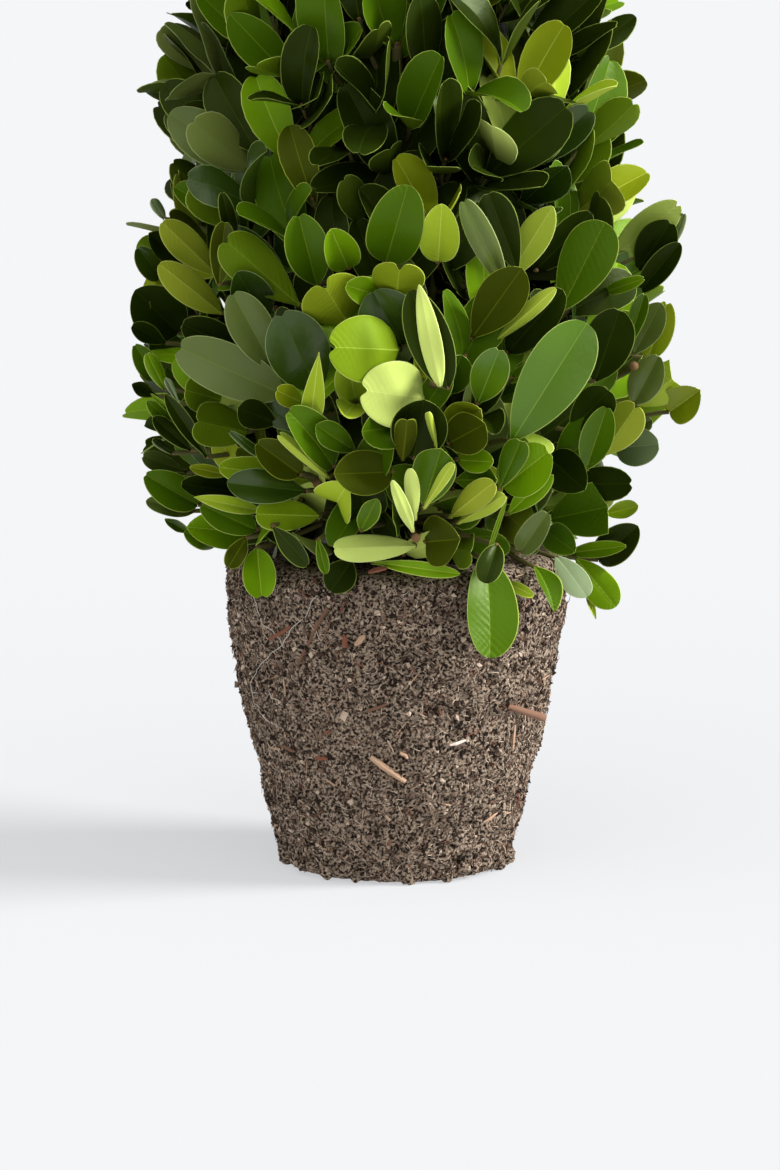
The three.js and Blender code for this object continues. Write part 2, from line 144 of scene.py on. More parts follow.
# How far the foot of a leaf in the picture may lie behind its tip, and how it is moved back
SEEN_REACH = SimpleNamespace(length=25 * MM, least=3 * MM, most=13 * MM, hanging=4 * MM)
STEPS_BACK = [0, 1.2 * MM, 2.4 * MM, 3.6 * MM, 4.8 * MM, 6 * MM]
# Leaves stand in crossed pairs: angle to the twig, distance back from its end, size
PAIRS = [
    SimpleNamespace(angle=24, back=0.5 * MM, size=0.84),
    SimpleNamespace(angle=40, back=4.5 * MM, size=1.0),
    SimpleNamespace(angle=56, back=10 * MM, size=1.0),
]
# Older pairs further in, painted near black as shade, so they only show as dark shapes
INNER_PAIRS = [
    SimpleNamespace(angle=60, back=15 * MM, size=0.95),
    SimpleNamespace(angle=72, back=22 * MM, size=0.95),
]
# Shorter shoots that fill the gaps between the others
DEEP_SHOOT = SimpleNamespace(area=210 * MM**2, nearest=7 * MM, furthest=15 * MM)
DEEP_PAIRS = [
    SimpleNamespace(angle=30, back=0.5 * MM, size=0.85),
    SimpleNamespace(angle=56, back=6 * MM, size=0.95),
]
# How often a leaf is tried, how much looser its place gets on the way and how much smaller it gets
TRIES = SimpleNamespace(count=9, loosening=3, shrinking=0.025)
# How a shoot's twig runs in: where its root is looked for, where it bends, and the choice of roots
RUN_IN = SimpleNamespace(root=22 * MM, bend=11 * MM, choices=16)
# The same for the twig of a leaf in the picture
SEEN_RUN_IN = SimpleNamespace(root=20 * MM, bend=6 * MM)
# Room that leaves keep over and beside the root ball, and for those that hang down its side,
# and how far inside the outline the leaves of the picture end
LEAF_ROOM = SimpleNamespace(
    over_ball=0.5 * MM,
    beside_ball=1.5 * MM,
    hanging=4 * MM,
    under_outline=1 * MM,
)

# How finely a leaf is made: rows along it, and lines of corners between its rib and its margin
VEINED = SimpleNamespace(rows=52, lines=5)
FINE = SimpleNamespace(rows=20, lines=2)
PLAIN = SimpleNamespace(rows=10, lines=1)
COARSE = SimpleNamespace(rows=7, lines=1)

# The picture and the camera that took it
PICTURE = SimpleNamespace(width=780, height=1170)
CAMERA = SimpleNamespace(
    target=Vector((-1.4 * MM, 0, 66 * MM)),
    distance=1.1,
    elevation=math.radians(10),
    view_width=183.3 * MM,
    sensor=36,
)


def seen(foot, tip, width, tint, depth=0, roll=0, under=False, hangs=False, **style):
    """A leaf that stands out in the picture: the pixels of its foot and tip, its width in pixels,
    how many millimetres it lies under the outline, its roll in degrees, which side shows, and
    whether it hangs down over the root ball."""
    return SimpleNamespace(
        foot=foot,
        tip=tip,
        width=width,
        tint=tint,
        depth=depth * MM,
        roll=math.radians(roll),
        under=under,
        hangs=hangs,
        style=style,
    )


# Shapes that some of these leaves take, in place of one dealt out by chance
ROUND_FOOT = {"fullest": 0.5, "blunt": 0.46}
POINTED = {"fullest": 0.5, "blunt": 0.85}
SLENDER = {"fullest": 0.44, "blunt": 0.72, "fold": 0.06, "notch": 0}
CUPPED = {"bend": 1.0, "notch": 0.09, "fold": 0.12, **ROUND_FOOT}
SAUCER = {"bend": 0.3, "notch": 0.16, "fold": 0.3, **ROUND_FOOT}
OVAL = {"bend": -0.3, "notch": 0, "fold": 0.14, "fullest": 0.62, "blunt": 0.5}

# Listed from front to back in each part of the picture: a leaf that would cut one before it
# is moved back
SEEN_LEAVES = [
    # Cluster of cupped leaves
    seen((424, 508), (453, 463), 12, "lime", -4, under=True, notch=0),
    seen((424, 504), (441, 449), 42, "green", -3, bend=0.7, fold=0.25, notch=0),
    seen((415, 519), (410, 468), 15, "pale", -3, under=True, bend=0.5, notch=0),
    seen((413, 531), (392, 480), 13, "pale", -3.5, under=True, bend=0.9, notch=0),
    seen((458, 523), (505, 495), 18, "lime", -3, under=True, bend=-0.4, notch=0),
    seen((450, 517), (494, 482), 26, "lime olive", -2, under=True, bend=0.6, notch=0),
    seen((456, 480), (497, 480), 26, "green", -1.5, bend=0.5, notch=0),
    seen((458, 460), (493, 462), 24, "bright", -1, bend=0.5, notch=0),
    seen((449, 443), (485, 424), 42, "olive dark", -0.5, bend=0.6, notch=0, **ROUND_FOOT),
    seen((448, 432), (481, 410), 40, "lime olive", 1.5, bend=0.6, notch=0, **ROUND_FOOT),
    seen((437, 449), (428, 412), 8, "lime", -1.5, under=True, notch=0),
    seen((403, 459), (407, 420), 22, "olive dark", -1, under=True, notch=0, **ROUND_FOOT),
    seen((414, 458), (424, 400), 54, "deep", 1, bend=0.8, notch=0, **ROUND_FOOT),
    seen((426, 542), (460, 539), 50, "olive dark", -1.5, bend=0.4, notch=0, **ROUND_FOOT),
    # Middle
    seen((424, 398), (360, 390), 64, "pale", -1, under=True, **CUPPED),
    seen((397, 350), (328, 347), 64, "bright", -1, under=True, **CUPPED),
    seen((440, 386), (419, 284), 21, "pale", -1, under=True, bend=0.2, **SLENDER),
    seen((347, 322), (322, 282), 62, "olive", 0, under=True, **SAUCER),
    seen((396, 301), (400, 264), 50, "olive", 0, under=True, **SAUCER),
    seen((478, 403), (500, 348), 36, "glossy", -1, bend=-0.2),
    seen((318, 392), (280, 312), 60, "dark glossy", 1, bend=-0.35, fold=0.1),
    seen((311, 418), (319, 352), 22, "lime", -3, fullest=0.3, blunt=1.1, notch=0, bend=-0.2),
    seen((301, 402), (276, 390), 22, "lime olive", -2),
    seen((448, 388), (411, 290), 42, "deep", 3),
    seen((402, 345), (372, 290), 66, "dark glossy", 4, bend=-0.5, **ROUND_FOOT),
    seen((394, 300), (345, 285), 28, "bright", 3),
    seen((386, 262), (408, 185), 52, "green", 0.5),
    seen((317, 286), (298, 213), 42, "green", 1),
    seen((348, 268), (331, 229), 34, "bright", 0.5),
    seen((438, 262), (442, 204), 38, "lime", 0),
    seen((518, 272), (488, 192), 36, "deep", 2),
    seen((505, 285), (463, 199), 26, "greyish", 3),
    # Upper left
    seen((216, 274), (162, 222), 32, "lime olive", 1, under=True, bend=0.2, fold=0.3),
    seen((221, 313), (159, 264), 32, "lime olive", 0, under=True, bend=0.2, fold=0.3),
    seen((300, 306), (224, 239), 46, "green", 0, under=True, bend=-0.2, fold=0.25),
    seen((276, 372), (232, 292), 42, "greyish", 1, bend=-0.3),
    seen((282, 394), (177, 347), 50, "greyish", -1, bend=-0.3, notch=0.04, fold=0.1),
    seen((219, 284), (225, 221), 24, "olive dark", 2),
    seen((266, 320), (237, 272), 40, "dark glossy", 3),
    seen((240, 352), (181, 323), 36, "deep", 2.5, bend=-0.3),
    seen((178, 333), (135, 290), 54, "deep", 2),
    seen((165, 343), (131, 325), 20, "deep", 0),
    seen((214, 250), (168, 216), 26, "olive dark", 4, under=True),
    seen((163, 279), (137, 247), 27, "dark glossy", 3),
    # Whitish-green painted sheen on this green leaf
    seen((165, 219), (152, 199), 11, "silvery", 1),
    seen((235, 244), (222, 192), 16, "deep", 1),
    seen((190, 264), (149, 233), 30, "deep", 5),
    seen((182, 318), (150, 300), 26, "olive dark", 6),
    # Left edge
    # Whitish-green painted sheen on this green leaf
    seen((179, 404), (166, 378), 8, "silvery", -2),
    seen((207, 457), (165, 394), 17, "deep", -1.5, fold=0.3),
    seen((172, 412), (151, 394), 6, "bright", -1),
    seen((184, 434), (147, 401), 18, "green", -0.5),
    seen((157, 378), (134, 344), 24, "green", 1),
    seen((165, 389), (147, 353), 16, "bright", 0.5),
    seen((157, 397), (132, 384), 15, "deep", 1),
    seen((191, 450), (153, 417), 18, "deep", 1),
    seen((172, 453), (153, 439), 9, "deep", 1),
    seen((267, 460), (229, 431), 10, "dark glossy", -2),
    seen((247, 432), (196, 421), 44, "green", 1, notch=0.08, under=True, **ROUND_FOOT),
    seen((278, 424), (238, 408), 30, "deep", 1.5),
    # Lower left
    seen((306, 491), (227, 483), 34, "dark glossy", -1.5, bend=-0.3),
    seen((310, 480), (219, 467), 30, "bright", 2, under=True),
    seen((318, 516), (256, 514), 32, "bright", 0, under=True, bend=-0.5),
    seen((262, 511), (194, 497), 16, "lime", -3, bend=-0.3, **POINTED),
    seen((256, 530), (200, 504), 32, "green", -0.5, bend=-0.2),
    seen((251, 533), (187, 527), 38, "bright", 0.5, bend=-0.2),
    seen((198, 505), (144, 474), 36, "green", -0.5),
    seen((228, 475), (190, 467), 13, "lime olive", -1.5, notch=0),
    seen((187, 472), (142, 456), 20, "greyish", 0.5),
    seen((193, 511), (146, 501), 20, "greyish", 1.5),
    seen((188, 532), (165, 519), 11, "green", 1),
    seen((236, 492), (180, 484), 28, "deep", 5),
    seen((216, 544), (184, 532), 22, "green", 3),
    seen((333, 466), (287, 410), 40, "green", -1, roll=25, fold=0.3),
    seen((329, 478), (279, 434), 12, "lime", -1.5, under=True),
    seen((392, 472), (334, 474), 44, "olive dark", 0, bend=0.4, **ROUND_FOOT),
    seen((356, 452), (316, 425), 26, "green", 2),
    seen((300, 474), (256, 442), 34, "olive dark", 2.5),
    seen((361, 530), (377, 499), 20, "green", 0),
    # Upper right
    seen((512, 441), (587, 323), 60, "glossy", -2.5, **OVAL),
    seen((492, 344), (556, 288), 16, "lime", -1.5, under=True),
    seen((472, 338), (522, 268), 46, "olive dark", 0.5, fold=0.35, bend=0.3),
    seen((507, 280), (553, 206), 32, "lime", -1, under=True, notch=0, **POINTED),
    seen((611, 259), (680, 203), 36, "pale", -2, under=True, fold=0.1, bend=-0.15),
    seen((508, 352), (563, 290), 38, "deep", 1, fold=0.3),
    seen((560, 312), (605, 222), 52, "green", 0, bend=0.2),
    seen((602, 293), (645, 278), 14, "bright", -1, bend=-0.3),
    seen((595, 381), (620, 309), 48, "deep", 1.5),
    seen((625, 353), (645, 293), 18, "green", -0.5),
    seen((634, 354), (661, 303), 30, "greyish", 0.5, bend=-0.2),
    seen((648, 358), (668, 301), 32, "lime olive", 2.5),
    seen((636, 272), (672, 221), 40, "deep", 9, bend=-0.3),
    seen((638, 293), (680, 243), 26, "deep", 7, bend=-0.3),
    seen((673, 244), (684, 213), 11, "greyish", 1),
    seen((571, 431), (610, 389), 38, "deep", 1, bend=0.3),
    seen((634, 403), (659, 355), 34, "greyish", 0, bend=-0.2),
    seen((602, 456), (637, 405), 38, "lime olive", 0.5, under=True, bend=0.3),
    seen((586, 470), (607, 406), 32, "green", 2),
    seen((638, 405), (684, 370), 40, "lime", 2, under=True, cut=0.8, cut_slant=-0.3),
    seen((669, 412), (700, 390), 38, "lime olive", 2.5, **ROUND_FOOT),
    # Whitish-green painted sheen on this green leaf
    seen((617, 448), (660, 444), 40, "silvery", 0, bend=-0.4),
    seen((626, 432), (652, 420), 18, "greyish", 3),
    # Lower right
    seen((550, 519), (640, 500), 54, "green", -1, bend=-0.1, cut=0.66, cut_slant=-0.15),
    seen((503, 487), (550, 450), 48, "bright", 0, bend=-0.2),
    seen((500, 488), (521, 440), 26, "green", 0.5),
    seen((508, 514), (552, 472), 24, "bright", 1),
    seen((560, 470), (606, 412), 44, "green", 1.5),
    seen((549, 458), (585, 490), 42, "deep", 1, **ROUND_FOOT),
    seen((606, 514), (638, 506), 18, "lime", 1),
    seen((598, 560), (638, 526), 36, "deep", 1),
    seen((568, 553), (626, 546), 17, "bright", -1, notch=0),
    seen((520, 552), (548, 512), 26, "greyish", 1),
    seen((546, 530), (575, 552), 30, "green", 4, notch=0),
    seen((486, 560), (507, 497), 5, "bright", -1, notch=0),
    # Over the rim of the root ball
    seen((415, 546), (334, 549), 27, "pale", -2, under=True, bend=-0.3, notch=0),
    seen((372, 562), (460, 574), 15, "bright", -1, bend=-0.6, notch=0),
    seen((352, 560), (330, 592), 32, "deep", 0, hangs=True),
    seen((257, 548), (262, 599), 33, "bright", -1, hangs=True, notch=0.08, bend=-0.3),
    seen((246, 538), (228, 568), 20, "olive dark", 0, hangs=True),
    seen((497, 545), (484, 583), 26, "deep", -6, hangs=True, notch=0),
    seen((486, 560), (490, 658), 56, "green", -4.5, roll=-26, hangs=True, bend=-0.3, notch=0, fullest=0.55),
    seen((535, 566), (555, 612), 26, "green", -5, hangs=True, roll=-40, notch=0, **POINTED),
    # Whitish-green painted sheen on this green leaf
    seen((556, 556), (587, 597), 32, "silvery", -4.5, hangs=True, roll=-30, bend=-0.2, notch=0),
    seen((576, 558), (616, 607), 34, "bright", 0, hangs=True, bend=-0.2),
    seen((586, 588), (596, 619), 7, "lime", -1, hangs=True, notch=0, **POINTED),
    seen((510, 584), (534, 596), 12, "lime", -4, hangs=True, bend=-0.8, notch=0),
    seen((272, 526), (308, 566), 22, "deep", 0.5, hangs=True, roll=20),
    seen((318, 540), (326, 574), 12, "green", 0, hangs=True, notch=0),
]

# Cut ends of old stems, by the pixels of the end, and how far they stand out
SEEN_STEMS = [
    ((436, 382), 0 * MM),
    ((416, 538), 3 * MM),
    ((634, 366), 0 * MM),
]
OLD_STEM = SimpleNamespace(radius=1.1 * MM, length=22 * MM, inset=6 * MM)


# Chance, the same in each run, and small helpers

rng = np.random.default_rng(SEED)
noise.seed_set(SEED)


def clamp(value, low, high):
    return max(low, min(value, high))


def around(spread):
    return rng.uniform(-spread, spread)


def from_polar(radius, azimuth, z):
    return Vector((radius * math.cos(azimuth), radius * math.sin(azimuth), z))


def unit_rows(vectors):
    return vectors / np.linalg.norm(vectors, axis=1, keepdims=True)


# Materials


def shade(red, green, blue):
    """A colour as a screen shows it, from 0 to 255, as the light that it sends back."""
    screen = np.array([red, green, blue]) / 255
    light = np.where(screen <= 0.04045, screen / 12.92, ((screen + 0.055) / 1.055) ** 2.4)
    return (*light, 1.0)


class Finish:
    """A material and the few nodes that its pattern is built from."""

    def __init__(self, name, colour, roughness, specular=0.5):
        self.material = bpy.data.materials.new(name)
        self.material.use_nodes = True
        self.nodes = self.material.node_tree.nodes
        self.links = self.material.node_tree.links
        self.surface = self.nodes["Principled BSDF"]
        self.surface.inputs["Base Color"].default_value = colour
        self.surface.inputs["Roughness"].default_value = roughness
        self.surface.inputs["Specular IOR Level"].default_value = specular

    def tint_shine(self, colour):
        self.surface.inputs["Specular Tint"].default_value = colour

    def place(self):
        return self.nodes.new("ShaderNodeTexCoord").outputs["Object"]

    def noise(self, grain, detail=2.0, stretch=None):
        """Noise whose blotches are about as wide as the grain, in metres."""
        texture = self.nodes.new("ShaderNodeTexNoise")
        texture.inputs["Scale"].default_value = 1 / grain
        texture.inputs["Detail"].default_value = detail
        place = self.place()
        if stretch:
            mapping = self.nodes.new("ShaderNodeMapping")
            mapping.inputs["Scale"].default_value = stretch
            self.links.new(place, mapping.inputs["Vector"])
            place = mapping.outputs["Vector"]
        self.links.new(place, texture.inputs["Vector"])
        return texture.outputs["Fac"]

    def ramp(self, factor, stops):
        ramp = self.nodes.new("ShaderNodeValToRGB")
        for position, colour in stops[2:]:
            ramp.color_ramp.elements.new(position)
        for element, (position, colour) in zip(ramp.color_ramp.elements, stops):
            element.position = position
            element.color = colour
        self.links.new(factor, ramp.inputs["Fac"])
        return ramp.outputs["Color"]

    def colour(self, output):
        self.links.new(output, self.surface.inputs["Base Color"])

    def bump(self, heights, strength):
        """Relief from pairs of a height output and its depth in metres."""
        below = None
        for height, depth in heights:
            bump = self.nodes.new("ShaderNodeBump")
            bump.inputs["Strength"].default_value = strength
            bump.inputs["Distance"].default_value = depth
            self.links.new(height, bump.inputs["Height"])
            if below:
                self.links.new(below, bump.inputs["Normal"])
            below = bump.outputs["Normal"]
        self.links.new(below, self.surface.inputs["Normal"])


def leaf_finish(name, colour, roughness, specular, shine):
    finish = Finish(name, colour, roughness, specular)
    finish.tint_shine(shine)
    finish.bump([(finish.noise(1.6 * MM, 2), 0.12 * MM)], 0.5)
    return finish.material


GREEN_SHINE = (0.8, 1.0, 0.4, 1.0)
WAXY = (0.9, 1.0, 0.75, 1.0)


def look(upper, under, rib, rim, roughness, specular, shine=GREEN_SHINE):
    """A leaf's colours: its two sides, its midrib and its margin, whose pale rim is partly the margin's own
    tone and partly a painted highlight of the edge catching light, and how its upper side shines.
    """
    colours = [shade(*colour) for colour in (upper, under, rib, rim)]
    return SimpleNamespace(colours=colours, roughness=roughness, specular=specular, shine=shine)


# Each tint gives the upper side, the underside, the midrib and the rim; the rim's pale colour is partly the
# margin's own tone and partly a painted highlight of the edge catching light
TINTS = {
    "deep": look((34, 47, 4), (56, 70, 10), (52, 68, 12), (136, 154, 68), 0.34, 0.16),
    "dark glossy": look((44, 66, 10), (66, 86, 20), (62, 86, 26), (130, 150, 88), 0.26, 0.6, WAXY),
    "green": look((72, 104, 6), (92, 116, 12), (108, 134, 30), (160, 180, 80), 0.34, 0.2),
    "glossy": look((80, 116, 12), (100, 126, 20), (120, 152, 60), (170, 192, 100), 0.26, 0.55, WAXY),
    "bright": look((114, 154, 10), (122, 150, 20), (160, 186, 62), (186, 204, 98), 0.38, 0.2),
    "lime": look((168, 192, 46), (178, 198, 64), (202, 216, 96), (210, 222, 122), 0.44, 0.15),
    "lime olive": look((136, 150, 20), (150, 162, 44), (180, 188, 74), (190, 198, 92), 0.42, 0.15),
    "olive dark": look((66, 76, 6), (76, 84, 8), (98, 108, 18), (150, 162, 56), 0.4, 0.14),
    "olive": look((118, 134, 14), (130, 146, 24), (156, 170, 50), (176, 186, 80), 0.4, 0.15),
    "greyish": look((92, 108, 46), (112, 126, 58), (112, 128, 62), (154, 166, 104), 0.34, 0.45, WAXY),
    # Painted sheen: green leaves painted whitish-green all over, standing for light that glances off their
    # wax
    "silvery": look((128, 146, 104), (140, 154, 108), (156, 170, 128), (180, 192, 150), 0.26, 0.7, WAXY),
    "pale": look((194, 214, 100), (200, 218, 112), (214, 226, 130), (216, 228, 142), 0.5, 0.12),
    # Painted shade: leaves painted near black to stand for the shade deep inside the crown
    "inner": look((13, 17, 2), (16, 20, 2), (16, 20, 2), (26, 32, 6), 0.7, 0.02),
}
UPPER, UNDER, RIB, RIM_TONE_AND_HIGHLIGHT = range(4)


def leaf_materials():
    """The finishes of each tint, in the order of the slots."""
    made = {}
    for name, tint in TINTS.items():
        dull = (0.55, min(tint.specular, 0.15))
        gloss = [(tint.roughness, tint.specular), dull, dull, dull]
        # The rim finish carries the margin's paler tone together with a painted highlight of the edge
        made[name] = [
            leaf_finish(f"leaf {name} {side}", colour, *shiny, tint.shine)
            for side, colour, shiny in zip(("upper", "under", "rib", "rim"), tint.colours, gloss)
        ]
    return made


def soil_finish():
    finish = Finish("soil", shade(84, 70, 58), 0.95, 0.1)
    clods = finish.noise(0.7 * MM, 5)
    dark = (0.42, shade(32, 23, 17))
    middle = (0.54, shade(78, 63, 52))
    light = (0.66, shade(184, 163, 142))
    finish.colour(finish.ramp(clods, [dark, light, middle]))
    finish.bump([(finish.noise(0.6 * MM, 3), 0.35 * MM)], 1.0)
    return finish.material


def fleck_finish(name, colour, roughness=0.9):
    finish = Finish(name, colour, roughness, 0.2)
    finish.bump([(finish.noise(0.5 * MM, 2), 0.1 * MM)], 0.6)
    return finish.material


def fleck_finishes(name, tones):
    return [fleck_finish(f"{name} {index}", shade(*tone)) for index, tone in enumerate(tones)]


def bark_finish():
    finish = Finish("bark", shade(112, 92, 70), 0.85, 0.25)
    streaks = finish.noise(1.2 * MM, 4, stretch=(1, 1, 0.16))
    dark = (0.35, shade(66, 52, 38))
    middle = (0.5, shade(116, 97, 76))
    light = (0.7, shade(156, 140, 116))
    finish.colour(finish.ramp(streaks, [dark, light, middle]))
    finish.bump([(streaks, 0.5 * MM), (finish.noise(0.5 * MM, 2), 0.1 * MM)], 0.7)
    return finish.material


# Meshes


def make_piece(name, points, triangles, slots, materials, smooth=True):
    mesh = bpy.data.meshes.new(name)
    mesh.from_pydata(points, [], triangles)
    for material in materials:
        mesh.materials.append(material)
    mesh.polygons.foreach_set("material_index", np.asarray(slots, dtype=np.int32))
    mesh.polygons.foreach_set("use_smooth", np.full(len(triangles), smooth))
    mesh.update()
    piece = bpy.data.objects.new(name, mesh)
    bpy.context.scene.collection.objects.link(piece)
    return piece


class Heap:
    """Many small shapes gathered into one joined piece."""

    def __init__(self):
        self.points = []
        self.triangles = []
        self.slots = []
        self.count = 0

    def add(self, points, triangles, slots=0):
        self.points.append(points)
        self.triangles.append(triangles + self.count)
        self.slots.append(np.full(len(triangles), slots) if np.isscalar(slots) else slots)
        self.count += len(points)

    def piece(self, name, materials, slot, *nodes, smooth=True):
        if not self.points:
            return None
        points = np.concatenate(self.points)
        triangles = np.concatenate(self.triangles)
        slots = np.concatenate(self.slots)
        made = make_piece(name, points, triangles, slots, materials, smooth)
        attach(made, "root")
        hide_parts(*nodes)
        return made


def split_quads(quads):
    """The two triangles of each quad, and which of them have three corners in different places."""
    quads = np.asarray(quads)
    triangles = np.concatenate([quads[:, [0, 1, 2]], quads[:, [0, 2, 3]]])
    a, b, c = triangles.T
    return triangles, (a != b) & (b != c) & (c != a)


def quads_to_triangles(quads):
    triangles, whole = split_quads(quads)
    return triangles[whole]


def grid_triangles(rows, columns, closed=False):
    """Triangles of a sheet of points, numbered row by row. A closed one joins at its sides."""
    across = columns if closed else columns - 1
    row, column = np.meshgrid(np.arange(rows - 1), np.arange(across), indexing="ij")
    after = (column + 1) % columns
    corners = [row * columns + column, row * columns + after]
    corners += [(row + 1) * columns + after, (row + 1) * columns + column]
    return quads_to_triangles(np.stack([corner.ravel() for corner in corners], axis=1))


def tube_triangles(rings, facets):
    """Triangles of rings of corners and the centres of the two ends, with those of the ends last."""
    ring = np.arange(facets)
    after = (ring + 1) % facets
    last = (rings - 1) * facets
    foot_cap = np.stack([np.full(facets, rings * facets), after, ring], axis=1)
    tip_cap = np.stack([np.full(facets, rings * facets + 1), last + ring, last + after], axis=1)
    return np.concatenate([grid_triangles(rings, facets, closed=True), foot_cap, tip_cap])


def tube(path, radii, facets):
    """A closed tube along a path, with the triangles of its two ends last."""
    path = np.asarray(path)
    along = unit_rows(np.gradient(path, axis=0))
    helper = np.eye(3)[np.argmin(np.abs(along.mean(axis=0)))]
    side = unit_rows(np.cross(along, helper))
    other = np.cross(along, side)
    angles = np.arange(facets) * 2 * math.pi / facets
    across, up = (shares[None, :, None] for shares in (np.cos(angles), np.sin(angles)))
    spokes = across * side[:, None] + up * other[:, None]
    skin = path[:, None] + np.asarray(radii)[:, None, None] * spokes
    return np.concatenate([skin.reshape(-1, 3), path[[0, -1]]]), tube_triangles(len(path), facets)


def bent_path(start, middle, end, steps):
    """Points of a curve that leaves the start towards the middle and reaches the end from it."""
    share = np.linspace(0, 1, steps)[:, None]
    first, second, third = (np.array(point) for point in (start, middle, end))
    return first * (1 - share) ** 2 + second * 2 * share * (1 - share) + third * share**2


# The rule that the plant grows by, as in the solids


def ball_radius(z):
    rise = (z - BALL.foot_round) / (BALL.height - BALL.rim_round - BALL.foot_round)
    fill = 1 - (1 - clamp(rise, 0, 1)) ** BALL.bulge
    return BALL.foot_radius + (BALL.top_radius - BALL.foot_radius) * fill


def trunk_radius(z):
    rise = clamp((z - TRUNK.foot) / (TRUNK.top - TRUNK.foot), 0, 1)
    flare = max(0, 1 - (z - TRUNK.foot) / TRUNK.flare_height)
    plain = TRUNK.radius + (TRUNK.tip_radius - TRUNK.radius) * rise
    return plain + (TRUNK.foot_radius - TRUNK.radius) * flare**2


def trunk_centre(z):
    rise = clamp((z - TRUNK.foot) / (TRUNK.top - TRUNK.foot), 0, 1)
    bow = TRUNK.sway * math.sin(math.pi * rise)
    lean = TRUNK.lean * rise
    return Vector((bow + lean * TRUNK.lean_aside, lean + bow * TRUNK.sway_back, z))


def outline_radius(z):
    if z >= CROWN.widest:
        rise = min((z - CROWN.widest) / (CROWN.apex - CROWN.widest), 1)
        return CROWN.radius * (1 - rise**CROWN.taper)
    drop = (CROWN.widest - z) / (CROWN.widest - CROWN.foot)
    return CROWN.radius - (CROWN.radius - CROWN.foot_radius) * min(drop, 1) ** CROWN.undercut


def shoot_tilt(z):
    above = z - GROWTH.level_height
    if above < 0:
        return math.radians(GROWTH.droop_per_mm * above / MM)
    return math.radians(GROWTH.steepest * math.sqrt(above / (CROWN.top - GROWTH.level_height)))


def spread_over_outline(patch):
    """Heights and azimuths spread evenly over the outline, one to each patch of its area."""
    step = 0.25 * MM
    area = patch / 2
    places = []
    for z in np.arange(CROWN.foot, CROWN.top, step):
        radius = outline_radius(z)
        area += 2 * math.pi * radius * math.hypot(step, outline_radius(z + step) - radius)
        if area >= patch:
            area -= patch
            places.append((z, len(places) * GOLDEN_ANGLE))
    return places


def sideways_of(direction, turn):
    """A perpendicular to a direction, turned round it by an angle."""
    level = UP.cross(direction)
    if level.length < 0.05:
        level = Vector((1, 0, 0))
    return Matrix.Rotation(turn, 3, direction) @ level.normalized()


def mass_at(z):
    return next(mass for mass in MASSES if z < mass.to)


# Leaves


def leaf_columns(make):
    """Lines of corners across a leaf: the rim, the margin's inner edge, the blade's lines and
    the rib's edge, and the same again on the other half."""
    return 2 * (make.lines + 3)


def leaf_pattern(make):
    """Triangles and material slots of a leaf: two sheets that share their rims, shut at both ends."""
    rows = make.rows
    columns = leaf_columns(make)
    top = np.arange(rows * columns).reshape(rows, columns)
    base = top.copy()
    base[:, 1:-1] = rows * columns + np.arange(rows * (columns - 2)).reshape(rows, columns - 2)
    half = [RIM_TONE_AND_HIGHLIGHT] + [UPPER] * (make.lines + 1)
    band_slots = half + [RIB] + half[::-1]
    quads = []
    slots = []
    for row in range(rows - 1):
        for band, slot in enumerate(band_slots):
            ahead = row + 1
            beside = band + 1
            quads.append((top[row, band], top[ahead, band], top[ahead, beside], top[row, beside]))
            slots.append(slot)
            quads.append((base[row, band], base[row, beside], base[ahead, beside], base[ahead, band]))
            slots.append(UNDER if slot == UPPER else slot)
    for band in range(columns - 1):
        beside = band + 1
        quads.append((top[0, band], top[0, beside], base[0, beside], base[0, band]))
        quads.append((top[-1, beside], top[-1, band], base[-1, band], base[-1, beside]))
        slots += [RIM_TONE_AND_HIGHLIGHT, RIM_TONE_AND_HIGHLIGHT]
    triangles, whole = split_quads(quads)
    return triangles[whole], np.concatenate([slots, slots])[whole]


for make in (VEINED, FINE, PLAIN, COARSE):
    make.columns = leaf_columns(make)
    make.pattern = leaf_pattern(make)


def leaf_style(size=1.0, **chosen):
    """How one leaf differs from the next. Angles are in radians."""
    style = SimpleNamespace(
        length=LEAF.length * size * (1 + around(0.18)),
        slimness=LEAF.slimness * (1 + around(0.14)),
        fullest=rng.uniform(0.52, 0.66),
        blunt=rng.uniform(0.42, 0.58),
        notch=rng.choice([0.0, 0.0, 0.035, 0.055]),
        fold=math.radians(rng.uniform(5, 28)),
        cup=around(1.1) * MM,
        bend=rng.uniform(-0.95, 0.6),
        twist=around(0.5),
        wave=rng.uniform(0.05, 0.35) * MM,
        wave_phase=rng.uniform(0, 2 * math.pi),
        cut=1.0,
        cut_slant=0.0,
    )
    for name, value in chosen.items():
        setattr(style, name, value)
    return style


def leaf_half_widths(style, along):
    """Half the blade's width at shares of its length, with a blunt tip and a narrow foot."""
    foot_power = style.blunt * style.fullest / (1 - style.fullest)
    fullness = along**foot_power * (1 - along) ** style.blunt
    most = style.fullest**foot_power * (1 - style.fullest) ** style.blunt
    return style.length * style.slimness / 2 * fullness / most


